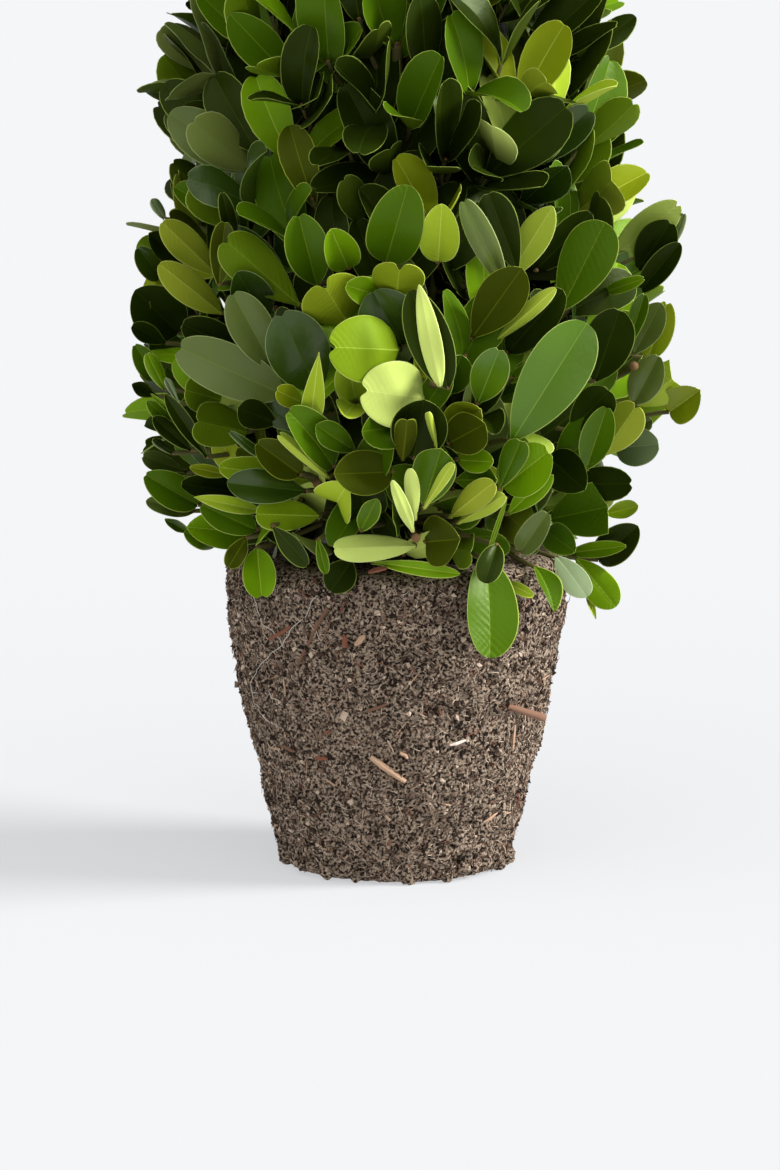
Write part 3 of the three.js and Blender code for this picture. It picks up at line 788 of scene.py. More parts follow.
def leaf_points(style, make):
    """Corners of a leaf that lies along +X with its upper side up."""
    share = np.linspace(0, 1, make.rows)
    # The rows crowd towards the tip, where the outline turns
    along = 0.985 * np.sin(share * math.pi / 2) ** 1.15 * style.cut
    stalk = LEAF.stalk_radius * np.clip(1.6 - 8 * along, 0.3, 1)
    half = np.maximum(leaf_half_widths(style, along), stalk)
    margin = np.minimum(LEAF.margin, half * 0.22)
    rib = np.minimum(LEAF.rib_foot + (LEAF.rib_tip - LEAF.rib_foot) * along, half * 0.35)
    blade = np.linspace(half - margin, rib, make.lines + 2, axis=1)
    right = np.column_stack([half, blade])
    y = np.concatenate([-right, right[:, ::-1]], axis=1)

    # The tip is round, with a notch in its middle, or torn off straight
    side = np.divide(y, half[:, None])
    tip_round = 0.015 * (1 - side**2) - style.notch * np.exp(-((side / 0.5) ** 2))
    near_tip = along[:, None] ** 12 if style.cut == 1 else 0
    x = style.length * (along[:, None] + tip_round * near_tip)
    if style.cut < 1:
        x += y * style.cut_slant * share[:, None] ** 6

    # The halves rise from the rib, and wave and curl a little
    spread = np.abs(y) / (style.length * style.slimness / 2)
    z = np.abs(y) * math.tan(style.fold) + style.cup * spread**2
    z += style.wave * spread * np.sin(along[:, None] * 9 + style.wave_phase + np.sign(y) * 1.3)
    if make is VEINED:
        vein = 2 * math.pi * LEAF.veins * (along[:, None] - LEAF.vein_slant * spread)
        z += LEAF.vein_depth * np.sin(vein) * np.clip(1.1 - spread, 0, 1)
    thickness = LEAF.thickness * (1 - 0.6 * spread) * np.clip(1.3 - along[:, None], 0.4, 1)
    is_rib = np.abs(y) < rib[:, None] * 1.001
    groove = np.where(is_rib, LEAF.groove, 0)
    ridge = np.where(is_rib, LEAF.ridge * (1.1 - along[:, None]), 0)
    upper = np.stack([x, y, z - groove], axis=2)
    lower = np.stack([x, y, z - thickness - ridge], axis=2)[:, 1:-1]
    points = np.concatenate([upper.reshape(-1, 3), lower.reshape(-1, 3)])
    return bend_leaf(points, style)


def bend_leaf(points, style):
    x, y, z = points.T
    turn = style.twist * x / style.length
    y, z = y * np.cos(turn) - z * np.sin(turn), y * np.sin(turn) + z * np.cos(turn)
    bend = style.bend if abs(style.bend) > 0.01 else 0.01
    radius = style.length / bend
    angle = x / radius
    bent = [(radius - z) * np.sin(angle), y, radius - (radius - z) * np.cos(angle)]
    return np.stack(bent, axis=1)


def leaf_frame(direction, sideways, angle):
    """Axes of a leaf that points away from its twig, its upper side turned to the twig's end."""
    along = direction * math.cos(angle) + sideways * math.sin(angle)
    upper = direction * math.sin(angle) - sideways * math.cos(angle)
    return np.array([along, upper.cross(along), upper])


class Thicket:
    """The leaves grown so far, so that the next one can keep clear of them."""

    cell = 12 * MM
    rows = 5
    columns = 4
    stalk_share = 0.22

    def __init__(self):
        self.cells = {}
        corners = np.arange(self.rows * self.columns).reshape(self.rows, -1).tolist()
        self.quads = [
            (near[left], far[left], far[left + 1], near[left + 1])
            for near, far in zip(corners[:-1], corners[1:])
            for left in range(self.columns - 1)
        ]

    def outline(self, points, make):
        """A few corners that stand for a leaf's blade."""
        rows = np.linspace(make.rows * self.stalk_share, make.rows - 1, self.rows).astype(int)
        columns = np.linspace(0, make.columns - 1, self.columns).astype(int)
        return points[(rows[:, None] * make.columns + columns).ravel()]

    def entry(self, points, make):
        corners = self.outline(points, make)
        return SimpleNamespace(
            corners=corners,
            low=corners.min(axis=0),
            high=corners.max(axis=0),
            tree=BVHTree.FromPolygons(corners.tolist(), self.quads),
        )

    def cells_of(self, entry):
        low = np.floor(entry.low / self.cell).astype(int)
        high = np.floor(entry.high / self.cell).astype(int)
        for i in range(low[0], high[0] + 1):
            for j in range(low[1], high[1] + 1):
                for k in range(low[2], high[2] + 1):
                    yield (i, j, k)

    def is_free(self, entry):
        tried = set()
        for cell in self.cells_of(entry):
            for other in self.cells.get(cell, []):
                if id(other) in tried:
                    continue
                tried.add(id(other))
                if (other.low > entry.high).any() or (other.high < entry.low).any():
                    continue
                if other.tree.overlap(entry.tree):
                    return False
        return True

    def add(self, entry):
        for cell in self.cells_of(entry):
            self.cells.setdefault(cell, []).append(entry)


# Lines of sight from the camera

# The stretch of a line of sight that is searched, either side of the camera's distance, its steps,
# and how far behind a leaf another one is looked for that it would hide
SEARCH = SimpleNamespace(before=0.09, behind=0.05, step=0.4 * MM, hidden_within=0.1)
CAMERA_BACK = Vector((0, -math.cos(CAMERA.elevation), math.sin(CAMERA.elevation)))
CAMERA_PLACE = CAMERA.target + CAMERA_BACK * CAMERA.distance
PIXEL = CAMERA.view_width / CAMERA.distance / PICTURE.width


def line_of_sight(pixel):
    across = (pixel[0] - PICTURE.width / 2) * PIXEL
    up = (PICTURE.height / 2 - pixel[1]) * PIXEL
    camera_up = Vector((0, math.sin(CAMERA.elevation), math.cos(CAMERA.elevation)))
    return (Vector((across, 0, 0)) + camera_up * up - CAMERA_BACK).normalized()


def point_seen_at(pixel, radius_at, inset):
    """Where a line of sight first comes inside a turned shape drawn in by an inset, or else
    where it passes closest to it."""
    sight = line_of_sight(pixel)
    best = None
    nearest, furthest = CAMERA.distance - SEARCH.before, CAMERA.distance + SEARCH.behind
    for reach in np.arange(nearest, furthest, SEARCH.step):
        point = CAMERA_PLACE + sight * reach
        inside = radius_at(point.z) - inset - math.hypot(point.x, point.y)
        if best is None or inside > best[0]:
            best = (inside, point)
        if inside >= 0:
            break
    return best[1]


def leafy_radius(z):
    """The outline, and below it the room for leaves that hang over the root ball."""
    hanging = ball_radius(z) + LEAF_ROOM.hanging
    return outline_radius(z) if z > BALL.height else hanging


# The plant as it grows: leaves by mass and tint, twigs by mass

thicket = Thicket()
# The leaves of the picture as one surface, and its tree once all of them are placed
picture = SimpleNamespace(surface=Heap(), tree=None)
leaf_heaps = {(mass.name, tint): Heap() for mass in MASSES for tint in TINTS}
twig_heaps = {mass.name: Heap() for mass in MASSES}
BARK, CUT = range(2)


def add_leaf(mass, tint, points, make):
    triangles, slots = make.pattern
    leaf_heaps[mass.name, tint].add(points, triangles, slots)


def add_twig(mass, path, foot_radius, tip_radius, facets=5):
    radii = np.linspace(foot_radius, tip_radius, len(path))
    points, triangles = tube(path, radii, facets)
    slots = np.full(len(triangles), BARK)
    slots[-facets:] = CUT
    twig_heaps[mass.name].add(points, triangles, slots)


def is_clear_of_ball(points):
    """Whether a leaf stays off the root ball's top and sides."""
    low = points[:, 2] < BALL.height + LEAF_ROOM.over_ball
    near = np.hypot(points[:, 0], points[:, 1]) < BALL.top_radius + LEAF_ROOM.beside_ball
    return not (low & near).any()


def is_inside_outline(corners):
    """Whether a leaf keeps within the clipped shape of the plant."""
    for x, y, z in corners:
        room = max(outline_radius(z), CROWN.tuft_radius)
        if z <= BALL.height:
            room = ball_radius(z) + CROWN.drape
        if math.hypot(x, y) > room + CROWN.overhang:
            return False
    return True


def is_allowed(points, entry):
    return (
        is_inside_outline(entry.corners)
        and is_clear_of_ball(points)
        and thicket.is_free(entry)
        and not hides_seen_leaf(entry.corners)
    )


def grow_leaf(shoot, foot, turn, pair, make):
    """Tries a leaf in slightly different ways until it lies free. One that never does is left out."""
    for attempt in range(TRIES.count):
        loosen = 1 + TRIES.loosening * attempt / TRIES.count
        style = leaf_style(pair.size * (1 - TRIES.shrinking * attempt))
        angle = math.radians(pair.angle + around(8 * loosen))
        sideways = sideways_of(shoot.direction, turn + around(0.14 * loosen))
        axes = leaf_frame(shoot.direction, sideways, angle)
        points = leaf_points(style, make) @ axes + np.array(foot)
        entry = thicket.entry(points, make)
        if is_allowed(points, entry):
            thicket.add(entry)
            add_leaf(shoot.mass, shoot.tint, points, make)
            shoot.bare = min(shoot.bare, pair.back)
            return


def grow_pair(shoot, pair, order, make=PLAIN):
    foot = shoot.end - shoot.direction * pair.back
    turn = shoot.turn + order * math.pi / 2
    for side in (0, math.pi):
        grow_leaf(shoot, foot, turn + side, pair, make)


def grow_inner_pair(shoot, pair, order):
    """Leaves so deep in the crown that they only show as dark shapes, painted near black as the crown's
    shade.
    """
    foot = shoot.end - shoot.direction * pair.back
    for side in (0, math.pi):
        turn = shoot.turn + order * math.pi / 2 + side
        sideways = sideways_of(shoot.direction, turn + around(0.3))
        axes = leaf_frame(shoot.direction, sideways, math.radians(pair.angle + around(10)))
        points = leaf_points(leaf_style(pair.size), COARSE) @ axes + np.array(foot)
        if is_clear_of_ball(points) and thicket.is_free(thicket.entry(points, COARSE)):
            add_leaf(shoot.mass, "inner", points, COARSE)


def seen_leaf_points(leaf, style, back):
    """Corners of a leaf of the picture, moved back from the outline by a distance."""
    tip = point_seen_at(leaf.tip, leafy_radius, leaf.depth + back + LEAF_ROOM.under_outline)
    tip_distance = (tip - CAMERA_PLACE).length
    apparent = math.dist(leaf.foot, leaf.tip) * PIXEL * CAMERA.distance
    behind = math.sqrt(max(SEEN_REACH.length**2 - apparent**2, 0))
    behind = SEEN_REACH.hanging if leaf.hangs else clamp(behind, SEEN_REACH.least, SEEN_REACH.most)
    foot = CAMERA_PLACE + line_of_sight(leaf.foot) * (tip_distance + behind)
    along = (tip - foot).normalized()
    towards = (CAMERA_PLACE - foot).normalized()
    facing = (towards - along * towards.dot(along)).normalized()
    facing = Matrix.Rotation(leaf.roll, 3, along) @ facing
    upper = -facing if leaf.under else facing
    half_bend = max(abs(style.bend) / 2, 0.01)
    style.length = (tip - foot).length * half_bend / math.sin(half_bend)
    style.slimness = leaf.width * PIXEL * CAMERA.distance / style.length
    make = VEINED if leaf.width >= LEAF.veined_from and leaf.tint in VEINED_TINTS else FINE
    level = leaf_points(style, make) @ np.array(Matrix.Rotation(style.bend / 2, 3, "Y")).T
    return level @ np.array([along, upper.cross(along), upper]) + np.array(foot), foot, make


def place_seen_leaf(leaf):
    """Puts a leaf where the picture shows it, and gives the place of its foot."""
    style = leaf_style(twist=around(0.1), **leaf.style)
    for back in STEPS_BACK + [0]:
        points, foot, make = seen_leaf_points(leaf, style, back)
        entry = thicket.entry(points, make)
        if thicket.is_free(entry):
            break
    mass = mass_at(foot.z)
    add_leaf(mass, leaf.tint, points, make)
    thicket.add(entry)
    picture.surface.add(points, make.pattern[0])
    return foot


def leaves_cut(path):
    """How many steps of a path, short of its last, pass through a leaf of the picture."""
    steps = [(Vector(start), Vector(end - start)) for start, end in zip(path[:-2], path[1:-1])]
    return sum(picture.tree.ray_cast(start, step, step.length)[0] is not None for start, step in steps)


def way_from_bough(origin, middle, end, tree):
    """The path to a twig's end, from the bough near an origin that lets it cut the fewest leaves."""
    roots = [root for root, _, _ in tree.find_n(origin, RUN_IN.choices)]
    return min((bent_path(root, middle, end, 7) for root in roots), key=leaves_cut)


def carry_seen_leaf(foot, tree):
    """The twig that carries a leaf of the picture."""
    outward = Vector((foot.x, foot.y, 0)).normalized()
    root = foot - outward * SEEN_RUN_IN.root
    middle = foot - outward * SEEN_RUN_IN.bend
    path = way_from_bough(root, middle, foot, tree)
    add_twig(mass_at(foot.z), path, SHOOT.foot_radius, LEAF.stalk_radius)


def place_old_stem(pixel, past, tree):
    """A thick stem that was cut off short, with its brown end to the front."""
    end = point_seen_at(pixel, leafy_radius, OLD_STEM.inset - past)
    middle = end + line_of_sight(pixel) * OLD_STEM.length
    path = way_from_bough(middle, middle, end, tree)
    add_twig(mass_at(end.z), path, OLD_STEM.radius, OLD_STEM.radius, facets=7)


def hides_seen_leaf(corners):
    """Whether a leaf stands between the camera and a leaf that the picture shows."""
    for point in corners:
        sight = Vector(point) - CAMERA_PLACE
        if picture.tree.ray_cast(Vector(point), sight, SEARCH.hidden_within)[0]:
            return True
    return False


def grow_boughs():
    """The main shoots of the solids, from the trunk to a little way inside the outline."""
    paths = []
    for z, azimuth in spread_over_outline(BOUGH.area):
        tilt = shoot_tilt(z)
        radius = outline_radius(z) - BOUGH.depth * math.cos(tilt)
        end = from_polar(max(radius, BOUGH.shortest), azimuth, z - BOUGH.depth * math.sin(tilt))
        drop = radius * (BOUGH.drop + math.tan(tilt) * BOUGH.drop_with_tilt)
        foot_z = clamp(end.z - drop, BOUGH.lowest, BOUGH.highest)
        start = trunk_centre(foot_z)
        middle_z = foot_z + (end.z - foot_z) * BOUGH.bend_up
        middle = from_polar(radius * BOUGH.bend_out, azimuth, middle_z)
        paths.append(bent_path(start, middle, end, 9))
    return paths


def cut_back(path):
    """A bough up to where it would stand before a leaf of the picture."""
    while len(path) > 3 and hides_seen_leaf(path[-1:]):
        path = path[:-1]
    return path


def bough_tree(paths):
    points = [Vector(point) for path in paths for point in path[2:]]
    points += [trunk_centre(z) for z in np.linspace(TRUNK.foot + 10 * MM, TRUNK.top, 60)]
    tree = KDTree(len(points))
    for index, point in enumerate(points):
        tree.insert(point, index)
    tree.balance()
    return tree


# How often the leaves of a shoot take each tint, near the outline and further in, where most take the
# near-black tint of painted shade
TINT_ODDS = {
    "deep": 0.35,
    "dark glossy": 0.08,
    "green": 0.23,
    "glossy": 0.05,
    "bright": 0.09,
    "lime": 0.04,
    "lime olive": 0.04,
    "olive dark": 0.05,
    "greyish": 0.05,
    "pale": 0.02,
}
# Further in, mostly painted shade: the near-black tint stands for the crown's shade
PAINTED_SHADE_TINT_ODDS = {"inner": 0.65, "deep": 0.3, "olive dark": 0.05}


def shoot_at(z, azimuth, depth=0, odds=TINT_ODDS):
    """A shoot whose leaves reach the outline at a height and azimuth, or a depth inside it."""
    tilt = shoot_tilt(z) + math.radians(around(SHOOT.tilt_jitter))
    heading = azimuth + math.radians(around(SHOOT.turn_jitter))
    direction = from_polar(math.cos(tilt), heading, math.sin(tilt))
    short = depth + rng.uniform(0, SHOOT.reach_jitter)
    tip = from_polar(outline_radius(z) - short * math.cos(tilt), azimuth, z - short * math.sin(tilt))
    reach = LEAF.length * PAIRS[0].size * math.cos(math.radians(PAIRS[0].angle))
    end = tip - direction * reach
    return SimpleNamespace(
        mass=mass_at(z),
        direction=direction,
        end=end,
        turn=rng.uniform(0, math.pi),
        tint=rng.choice(list(odds), p=list(odds.values())),
        bare=math.inf,
    )


def grow_stem(shoot, tree):
    """The twig of a shoot, from the nearest bough to just past its outermost leaf."""
    root = shoot.end - shoot.direction * RUN_IN.root
    middle = shoot.end - shoot.direction * RUN_IN.bend
    tip = shoot.end - shoot.direction * (shoot.bare - rng.uniform(0.3, 1) * SHOOT.bare_end)
    path = way_from_bough(root, middle, tip, tree)
    add_twig(shoot.mass, path, SHOOT.foot_radius, SHOOT.tip_radius)


def grow_crown():
    feet = [place_seen_leaf(leaf) for leaf in SEEN_LEAVES]
    corners = np.concatenate(picture.surface.points)
    triangles = np.concatenate(picture.surface.triangles)
    picture.tree = BVHTree.FromPolygons(corners.tolist(), triangles.tolist())
    boughs = [cut_back(path) for path in grow_boughs()]
    for path in boughs:
        add_twig(mass_at(path[-1][2]), path, BOUGH.foot_radius, BOUGH.tip_radius, facets=7)
    tree = bough_tree(boughs)
    for foot in feet:
        carry_seen_leaf(foot, tree)
    for pixel, past in SEEN_STEMS:
        place_old_stem(pixel, past, tree)
    shoots = [shoot_at(z, azimuth) for z, azimuth in spread_over_outline(SHOOT.area)]
    deep_shoots = [
        shoot_at(z, azimuth + 1, rng.uniform(DEEP_SHOOT.nearest, DEEP_SHOOT.furthest), PAINTED_SHADE_TINT_ODDS)
        for z, azimuth in spread_over_outline(DEEP_SHOOT.area)
        if z < CROWN.top - 25 * MM
    ]
    for order, pair in enumerate(PAIRS):
        for shoot in shoots:
            grow_pair(shoot, pair, order)
    for order, pair in enumerate(DEEP_PAIRS):
        for shoot in deep_shoots:
            grow_pair(shoot, pair, order, COARSE)
    for order, pair in enumerate(INNER_PAIRS, len(PAIRS)):
        for shoot in shoots:
            grow_inner_pair(shoot, pair, order)
    for shoot in shoots + deep_shoots:
        if shoot.bare < math.inf:
            grow_stem(shoot, tree)


def make_crown():
    grow_crown()
    finishes = leaf_materials()
    twig_bark = fleck_finish("twig_bark", shade(92, 88, 48), 0.7)
    cut_wood = fleck_finish("cut_wood", shade(122, 92, 60), 0.8)
    for mass in MASSES:
        for tint in TINTS:
            name = f"leaves_{mass.name}_{tint.replace(' ', '_')}"
            leaf_heaps[mass.name, tint].piece(name, finishes[tint], "foliage", mass.node)
        twig_heaps[mass.name].piece(f"twigs_{mass.name}", [twig_bark, cut_wood], "bark", mass.node)


# Root ball

# How finely the soil's skin is made, how far a ring under the foot is drawn in from its rounding,
# and the smooth seat of the trunk
SKIN = SimpleNamespace(segments=330, rings=115, foot_inset=2 * MM, seat_radius=9 * MM)
# Radii of the rings on the top, as shares of its flat part
TOP_RINGS = (0.9, 0.75, 0.6, 0.45, 0.3, 0.1, 0.0)
# Each kind of relief with its width, its depth and the level that it starts from
CLODS = SimpleNamespace(width=7 * MM, depth=0.95 * MM)
CRUMBLES = SimpleNamespace(width=2.4 * MM, depth=1.1 * MM, level=0.45)
CREVICES = SimpleNamespace(width=3.4 * MM, depth=3.4 * MM, level=0.22)

# What lies on the skin, with its tones and how often each of them comes
CRUMB = SimpleNamespace(
    count=8000,
    smallest=0.18 * MM,
    largest=0.75 * MM,
    tones=[(38, 28, 21), (72, 57, 47), (118, 98, 84), (196, 175, 154)],
    odds=[0.3, 0.34, 0.24, 0.12],
)
FLAKE = SimpleNamespace(
    count=1700,
    shortest=0.6 * MM,
    longest=1.7 * MM,
    half_thickness=0.1 * MM,
    tones=[(44, 33, 24), (84, 68, 55), (146, 127, 108)],
)
FIBRE = SimpleNamespace(
    count=11000,
    shortest=0.8 * MM,
    longest=3.4 * MM,
    radius=0.085 * MM,
    lift=0.1 * MM,
    lowest=0.3 * MM,
    tones=[(50, 37, 29), (120, 100, 85), (216, 195, 172), (132, 90, 70)],
    odds=[0.26, 0.34, 0.27, 0.13],
)
CHIP = SimpleNamespace(
    count=150,
    shortest=1.4 * MM,
    longest=5.5 * MM,
    radius=0.22 * MM,
    lift=0.2 * MM,
    unevenness=0.12 * MM,
    tones={
        "tan": (190, 156, 128),
        "brown": (122, 90, 72),
        "red": (132, 84, 64),
        "white": (236, 220, 206),
    },
)
LUMP = SimpleNamespace(count=40, smallest=0.7 * MM, largest=2.1 * MM, sunk=0.3 * MM, rings=9, facets=12)
THREAD = SimpleNamespace(radius=0.085 * MM, proud=0.9 * MM, wander=0.9 * MM, curl=2.5 * MM, steps=9)

# Chips of wood that stand out in the picture: the pixels of both ends, radius and tone
SEEN_CHIPS = [
    ((370, 757), (405, 782), 0.95 * MM, "tan"),
    ((450, 746), (466, 740), 0.45 * MM, "white"),
    ((366, 712), (388, 704), 0.4 * MM, "brown"),
    ((327, 608), (297, 665), 0.55 * MM, "brown"),
    ((343, 634), (347, 648), 0.6 * MM, "red"),
    ((355, 645), (364, 635), 0.6 * MM, "tan"),
    ((270, 640), (290, 627), 0.5 * MM, "red"),
    ((368, 572), (386, 568), 0.6 * MM, "red"),
    ((514, 725), (513, 750), 0.4 * MM, "tan"),
    ((400, 753), (408, 758), 0.5 * MM, "tan"),
    ((378, 812), (390, 820), 0.4 * MM, "tan"),
    ((282, 746), (294, 752), 0.4 * MM, "brown"),
    ((316, 757), (328, 759), 0.5 * MM, "red"),
    ((322, 736), (330, 731), 0.5 * MM, "red"),
    ((484, 822), (498, 812), 0.35 * MM, "tan"),
]

# Pale root threads that stand out in the picture, as the pixels that each one passes
SEEN_THREADS = [
    [(254, 596), (262, 622), (279, 640), (283, 648)],
    [(318, 594), (300, 620), (282, 645), (262, 662), (253, 678), (251, 700), (262, 714), (277, 727)],
    [(252, 694), (266, 693), (279, 702)],
]


def ball_profile_radius(z):
    """The ball's plain radius at a height, with its foot and rim rounded off."""
    radius = ball_radius(z)
    if z < BALL.foot_round:
        radius -= BALL.foot_round - math.sqrt(max(0, BALL.foot_round**2 - (BALL.foot_round - z) ** 2))
    rim = BALL.height - BALL.rim_round
    if z > rim:
        radius -= BALL.rim_round - math.sqrt(max(0, BALL.rim_round**2 - (z - rim) ** 2))
    return radius


def soil_relief(point):
    """Height of the soil over the plain ball: clods, crumbs and crevices."""
    clods = noise.fractal(point / CLODS.width, 1.0, 2.0, 3) * CLODS.depth
    distances, _ = noise.voronoi(point / CRUMBLES.width)
    crumbs = (CRUMBLES.level - distances[0]) * CRUMBLES.depth
    crevice = max(0, noise.noise(point / CREVICES.width) - CREVICES.level) * CREVICES.depth
    return clods + crumbs - crevice


UNDERSIDE, SIDE, TOP = range(3)


def soil_rings():
    """Radius, height and kind of each ring of the soil's skin, from the middle of its foot."""
    foot = BALL.foot_radius - BALL.foot_round - SKIN.foot_inset
    top = BALL.top_radius - BALL.rim_round
    rings = [(0.0, 0.0, UNDERSIDE), (foot, 0.0, UNDERSIDE)]
    rings += [(ball_profile_radius(z), z, SIDE) for z in np.linspace(0, BALL.height, SKIN.rings)]
    rings += [(top * share, BALL.height, TOP) for share in TOP_RINGS]
    return rings


def soil_point(radius, azimuth, z, kind):
    point = from_polar(radius, azimuth, z)
    if kind == SIDE:
        relief = soil_relief(point)
        return from_polar(radius + (relief if z > 0 else min(relief, 0)), azimuth, z)
    if kind == TOP and radius > SKIN.seat_radius:
        point.z += min(0, soil_relief(point))
    return point


def make_soil():
    rings = soil_rings()
    azimuths = np.arange(SKIN.segments) * 2 * math.pi / SKIN.segments
    points = [soil_point(radius, azimuth, z, kind) for radius, z, kind in rings for azimuth in azimuths]
    heap = Heap()
    heap.add(np.array(points), grid_triangles(len(rings), SKIN.segments, closed=True))
    return heap.piece("soil", [soil_finish()], "soil", "root_ball")


def surface_finder(soil):
    """Finds the soil's own skin and the way it faces, near a place on the plain ball."""
    corners = [vertex.co for vertex in soil.data.vertices]
    faces = [face.vertices for face in soil.data.polygons]
    tree = BVHTree.FromPolygons(corners, faces)

    def find(z, azimuth):
        start = from_polar(BALL.top_radius * 2, azimuth, z)
        place, _, _, _ = tree.ray_cast(start, from_polar(-1, azimuth, 0))
        slope = (BALL.top_radius - BALL.foot_radius) / BALL.height
        outward = from_polar(1, azimuth, -slope).normalized()
        return place, outward

    return find


def random_axes(outward, tilt):
    """Axes of a scrap that lies on the surface, tilted off it by up to an angle."""
    heading = sideways_of(outward, rng.uniform(0, 2 * math.pi))
    lift = around(tilt)
    along = heading * math.cos(lift) + outward * math.sin(lift)
    upper = outward * math.cos(lift) - heading * math.sin(lift)
    roll = Matrix.Rotation(around(tilt), 3, along)
    upper = roll @ upper
    return np.array([along, upper.cross(along), upper])


def place_on_ball():
    """A height and azimuth, evenly over the ball's side."""
    while True:
        z = rng.uniform(1 * MM, BALL.height - 2 * MM)
        if rng.uniform(0, BALL.top_radius) < ball_radius(z):
            return z, rng.uniform(0, 2 * math.pi)


def scattered(find, count):
    """A number of places on the soil's skin, each with the way that it faces."""
    for _ in range(count):
        yield find(*place_on_ball())


def above_floor(points, least=0.0):
    points[:, 2] = np.maximum(points[:, 2], least)
    return points


def make_crumbs(find):
    """Lumpy grains with eight faces each."""
    corners = np.concatenate([np.eye(3), -np.eye(3)])
    upper_faces = [(0, 1, 2), (1, 3, 2), (3, 4, 2), (4, 0, 2)]
    lower_faces = [(1, 0, 5), (3, 1, 5), (4, 3, 5), (0, 4, 5)]
    faces = np.array(upper_faces + lower_faces)
    heap = Heap()
    for place, outward in scattered(find, CRUMB.count):
        size = CRUMB.smallest + (CRUMB.largest - CRUMB.smallest) * rng.random() ** 2
        stretch = size * rng.uniform(0.6, 1.5, 3)
        lumps = (corners + rng.uniform(-0.3, 0.3, (6, 3))) * stretch
        points = lumps @ random_axes(outward, 1.5) + np.array(place)
        heap.add(above_floor(points), faces, int(rng.choice(4, p=CRUMB.odds)))
    heap.piece("soil_crumbs", fleck_finishes("crumb", CRUMB.tones), "soil", "root_ball", smooth=False)


def make_lumps(find):
    """Small clods that hang on the foot's edge."""
    heap = Heap()
    turns = np.arange(LUMP.facets) * 2 * math.pi / LUMP.facets
    for order in range(LUMP.count):
        azimuth = (order + around(0.4)) * 2 * math.pi / LUMP.count
        place, _ = find(rng.uniform(1.2, 4) * MM, azimuth)
        size = rng.uniform(LUMP.smallest, LUMP.largest)
        centre = place - from_polar(LUMP.sunk, azimuth, 0)
        points = []
        for polar in np.linspace(0, math.pi, LUMP.rings):
            for turn in turns:
                spoke = from_polar(math.sin(polar), turn, math.cos(polar))
                swell = 1 + 0.45 * noise.noise(spoke * 1.9 + place / MM)
                points.append(centre + spoke * size * swell)
        triangles = grid_triangles(LUMP.rings, LUMP.facets, closed=True)
        heap.add(above_floor(np.array(points)), triangles)
    heap.piece("soil_lumps", [soil_finish()], "soil", "root_ball")


def make_flakes(find):
    """Thin scraps of bark and leaf mould."""
    heap = Heap()
    outline = np.array([(-1, -0.3), (-0.3, -1), (0.8, -0.7), (1, 0.2), (0.2, 1), (-0.8, 0.6)])
    fan = np.array([(0, 1, 2), (0, 2, 3), (0, 3, 4), (0, 4, 5)])
    rim = np.arange(6)
    after = (rim + 1) % 6
    walls = quads_to_triangles(np.stack([rim, rim + 6, after + 6, after], axis=1))
    faces = np.concatenate([fan, fan[:, ::-1] + 6, walls])
    for place, outward in scattered(find, FLAKE.count):
        length = rng.uniform(FLAKE.shortest, FLAKE.longest) / 2
        width = length * rng.uniform(0.25, 0.7)
        flat = outline * rng.uniform(0.8, 1.15, (6, 1)) * (length, width)
        upper = np.column_stack([flat, np.full(6, FLAKE.half_thickness)])
        lower = np.column_stack([flat, np.full(6, -FLAKE.half_thickness)])
        points = np.concatenate([upper, lower]) @ random_axes(outward, 0.9) + np.array(place)
        heap.add(above_floor(points), faces, int(rng.integers(len(FLAKE.tones))))
    heap.piece("soil_flakes", fleck_finishes("flake", FLAKE.tones), "soil", "root_ball", smooth=False)


def make_fibres(find):
    """Short broken roots and stalks that lie over the soil."""
    heap = Heap()
    for place, outward in scattered(find, FIBRE.count):
        length = FIBRE.shortest + (FIBRE.longest - FIBRE.shortest) * rng.random() ** 2
        axes = random_axes(outward, 0.45)
        share = np.linspace(-0.5, 0.5, 3)[:, None]
        bow = rng.normal(0, 0.1, 2) * length
        path = np.array(place) + axes[0] * share * length
        path = path + (axes[1] * bow[0] + outward * abs(bow[1]) * 0.6) * (1 - 4 * share**2)
        path = above_floor(path + np.array(outward) * FIBRE.lift, FIBRE.lowest)
        radius = FIBRE.radius * rng.uniform(0.5, 1.5)
        points, triangles = tube(path, radius * np.array([0.6, 1, 0.6]), 3)
        heap.add(points, triangles, int(rng.choice(4, p=FIBRE.odds)))
    heap.piece("soil_fibres", fleck_finishes("fibre", FIBRE.tones), "soil", "root_ball")


def make_chips(find):
    """Splinters of reddish wood, those in the picture first."""
    names = list(CHIP.tones)
    heap = Heap()

    def add_chip(start, end, radius, tone):
        path = np.linspace(start, end, 4) + rng.normal(0, CHIP.unevenness, (4, 3))
        path = above_floor(path, 2 * radius)
        radii = radius * np.array([0.55, 1.0, 0.9, 0.6]) * rng.uniform(0.8, 1.2, 4)
        points, triangles = tube(path, radii, 4)
        heap.add(points, triangles, names.index(tone))

    for first, last, radius, tone in SEEN_CHIPS:
        start, end = (point_seen_at(pixel, ball_radius, -0.5 * MM) for pixel in (first, last))
        add_chip(start, end, radius, tone)
    for place, outward in scattered(find, CHIP.count):
        half = random_axes(outward, 0.2)[0] * rng.uniform(CHIP.shortest, CHIP.longest) / 2
        middle = np.array(place) + np.array(outward) * CHIP.lift
        tone = rng.choice(["tan", "brown", "red"], p=[0.2, 0.45, 0.35])
        add_chip(middle - half, middle + half, CHIP.radius * rng.uniform(0.5, 1.1), tone)
    finishes = [fleck_finish(f"chip_{name}", shade(*tone)) for name, tone in CHIP.tones.items()]
    heap.piece("soil_chips", finishes, "soil", "root_ball", smooth=False)


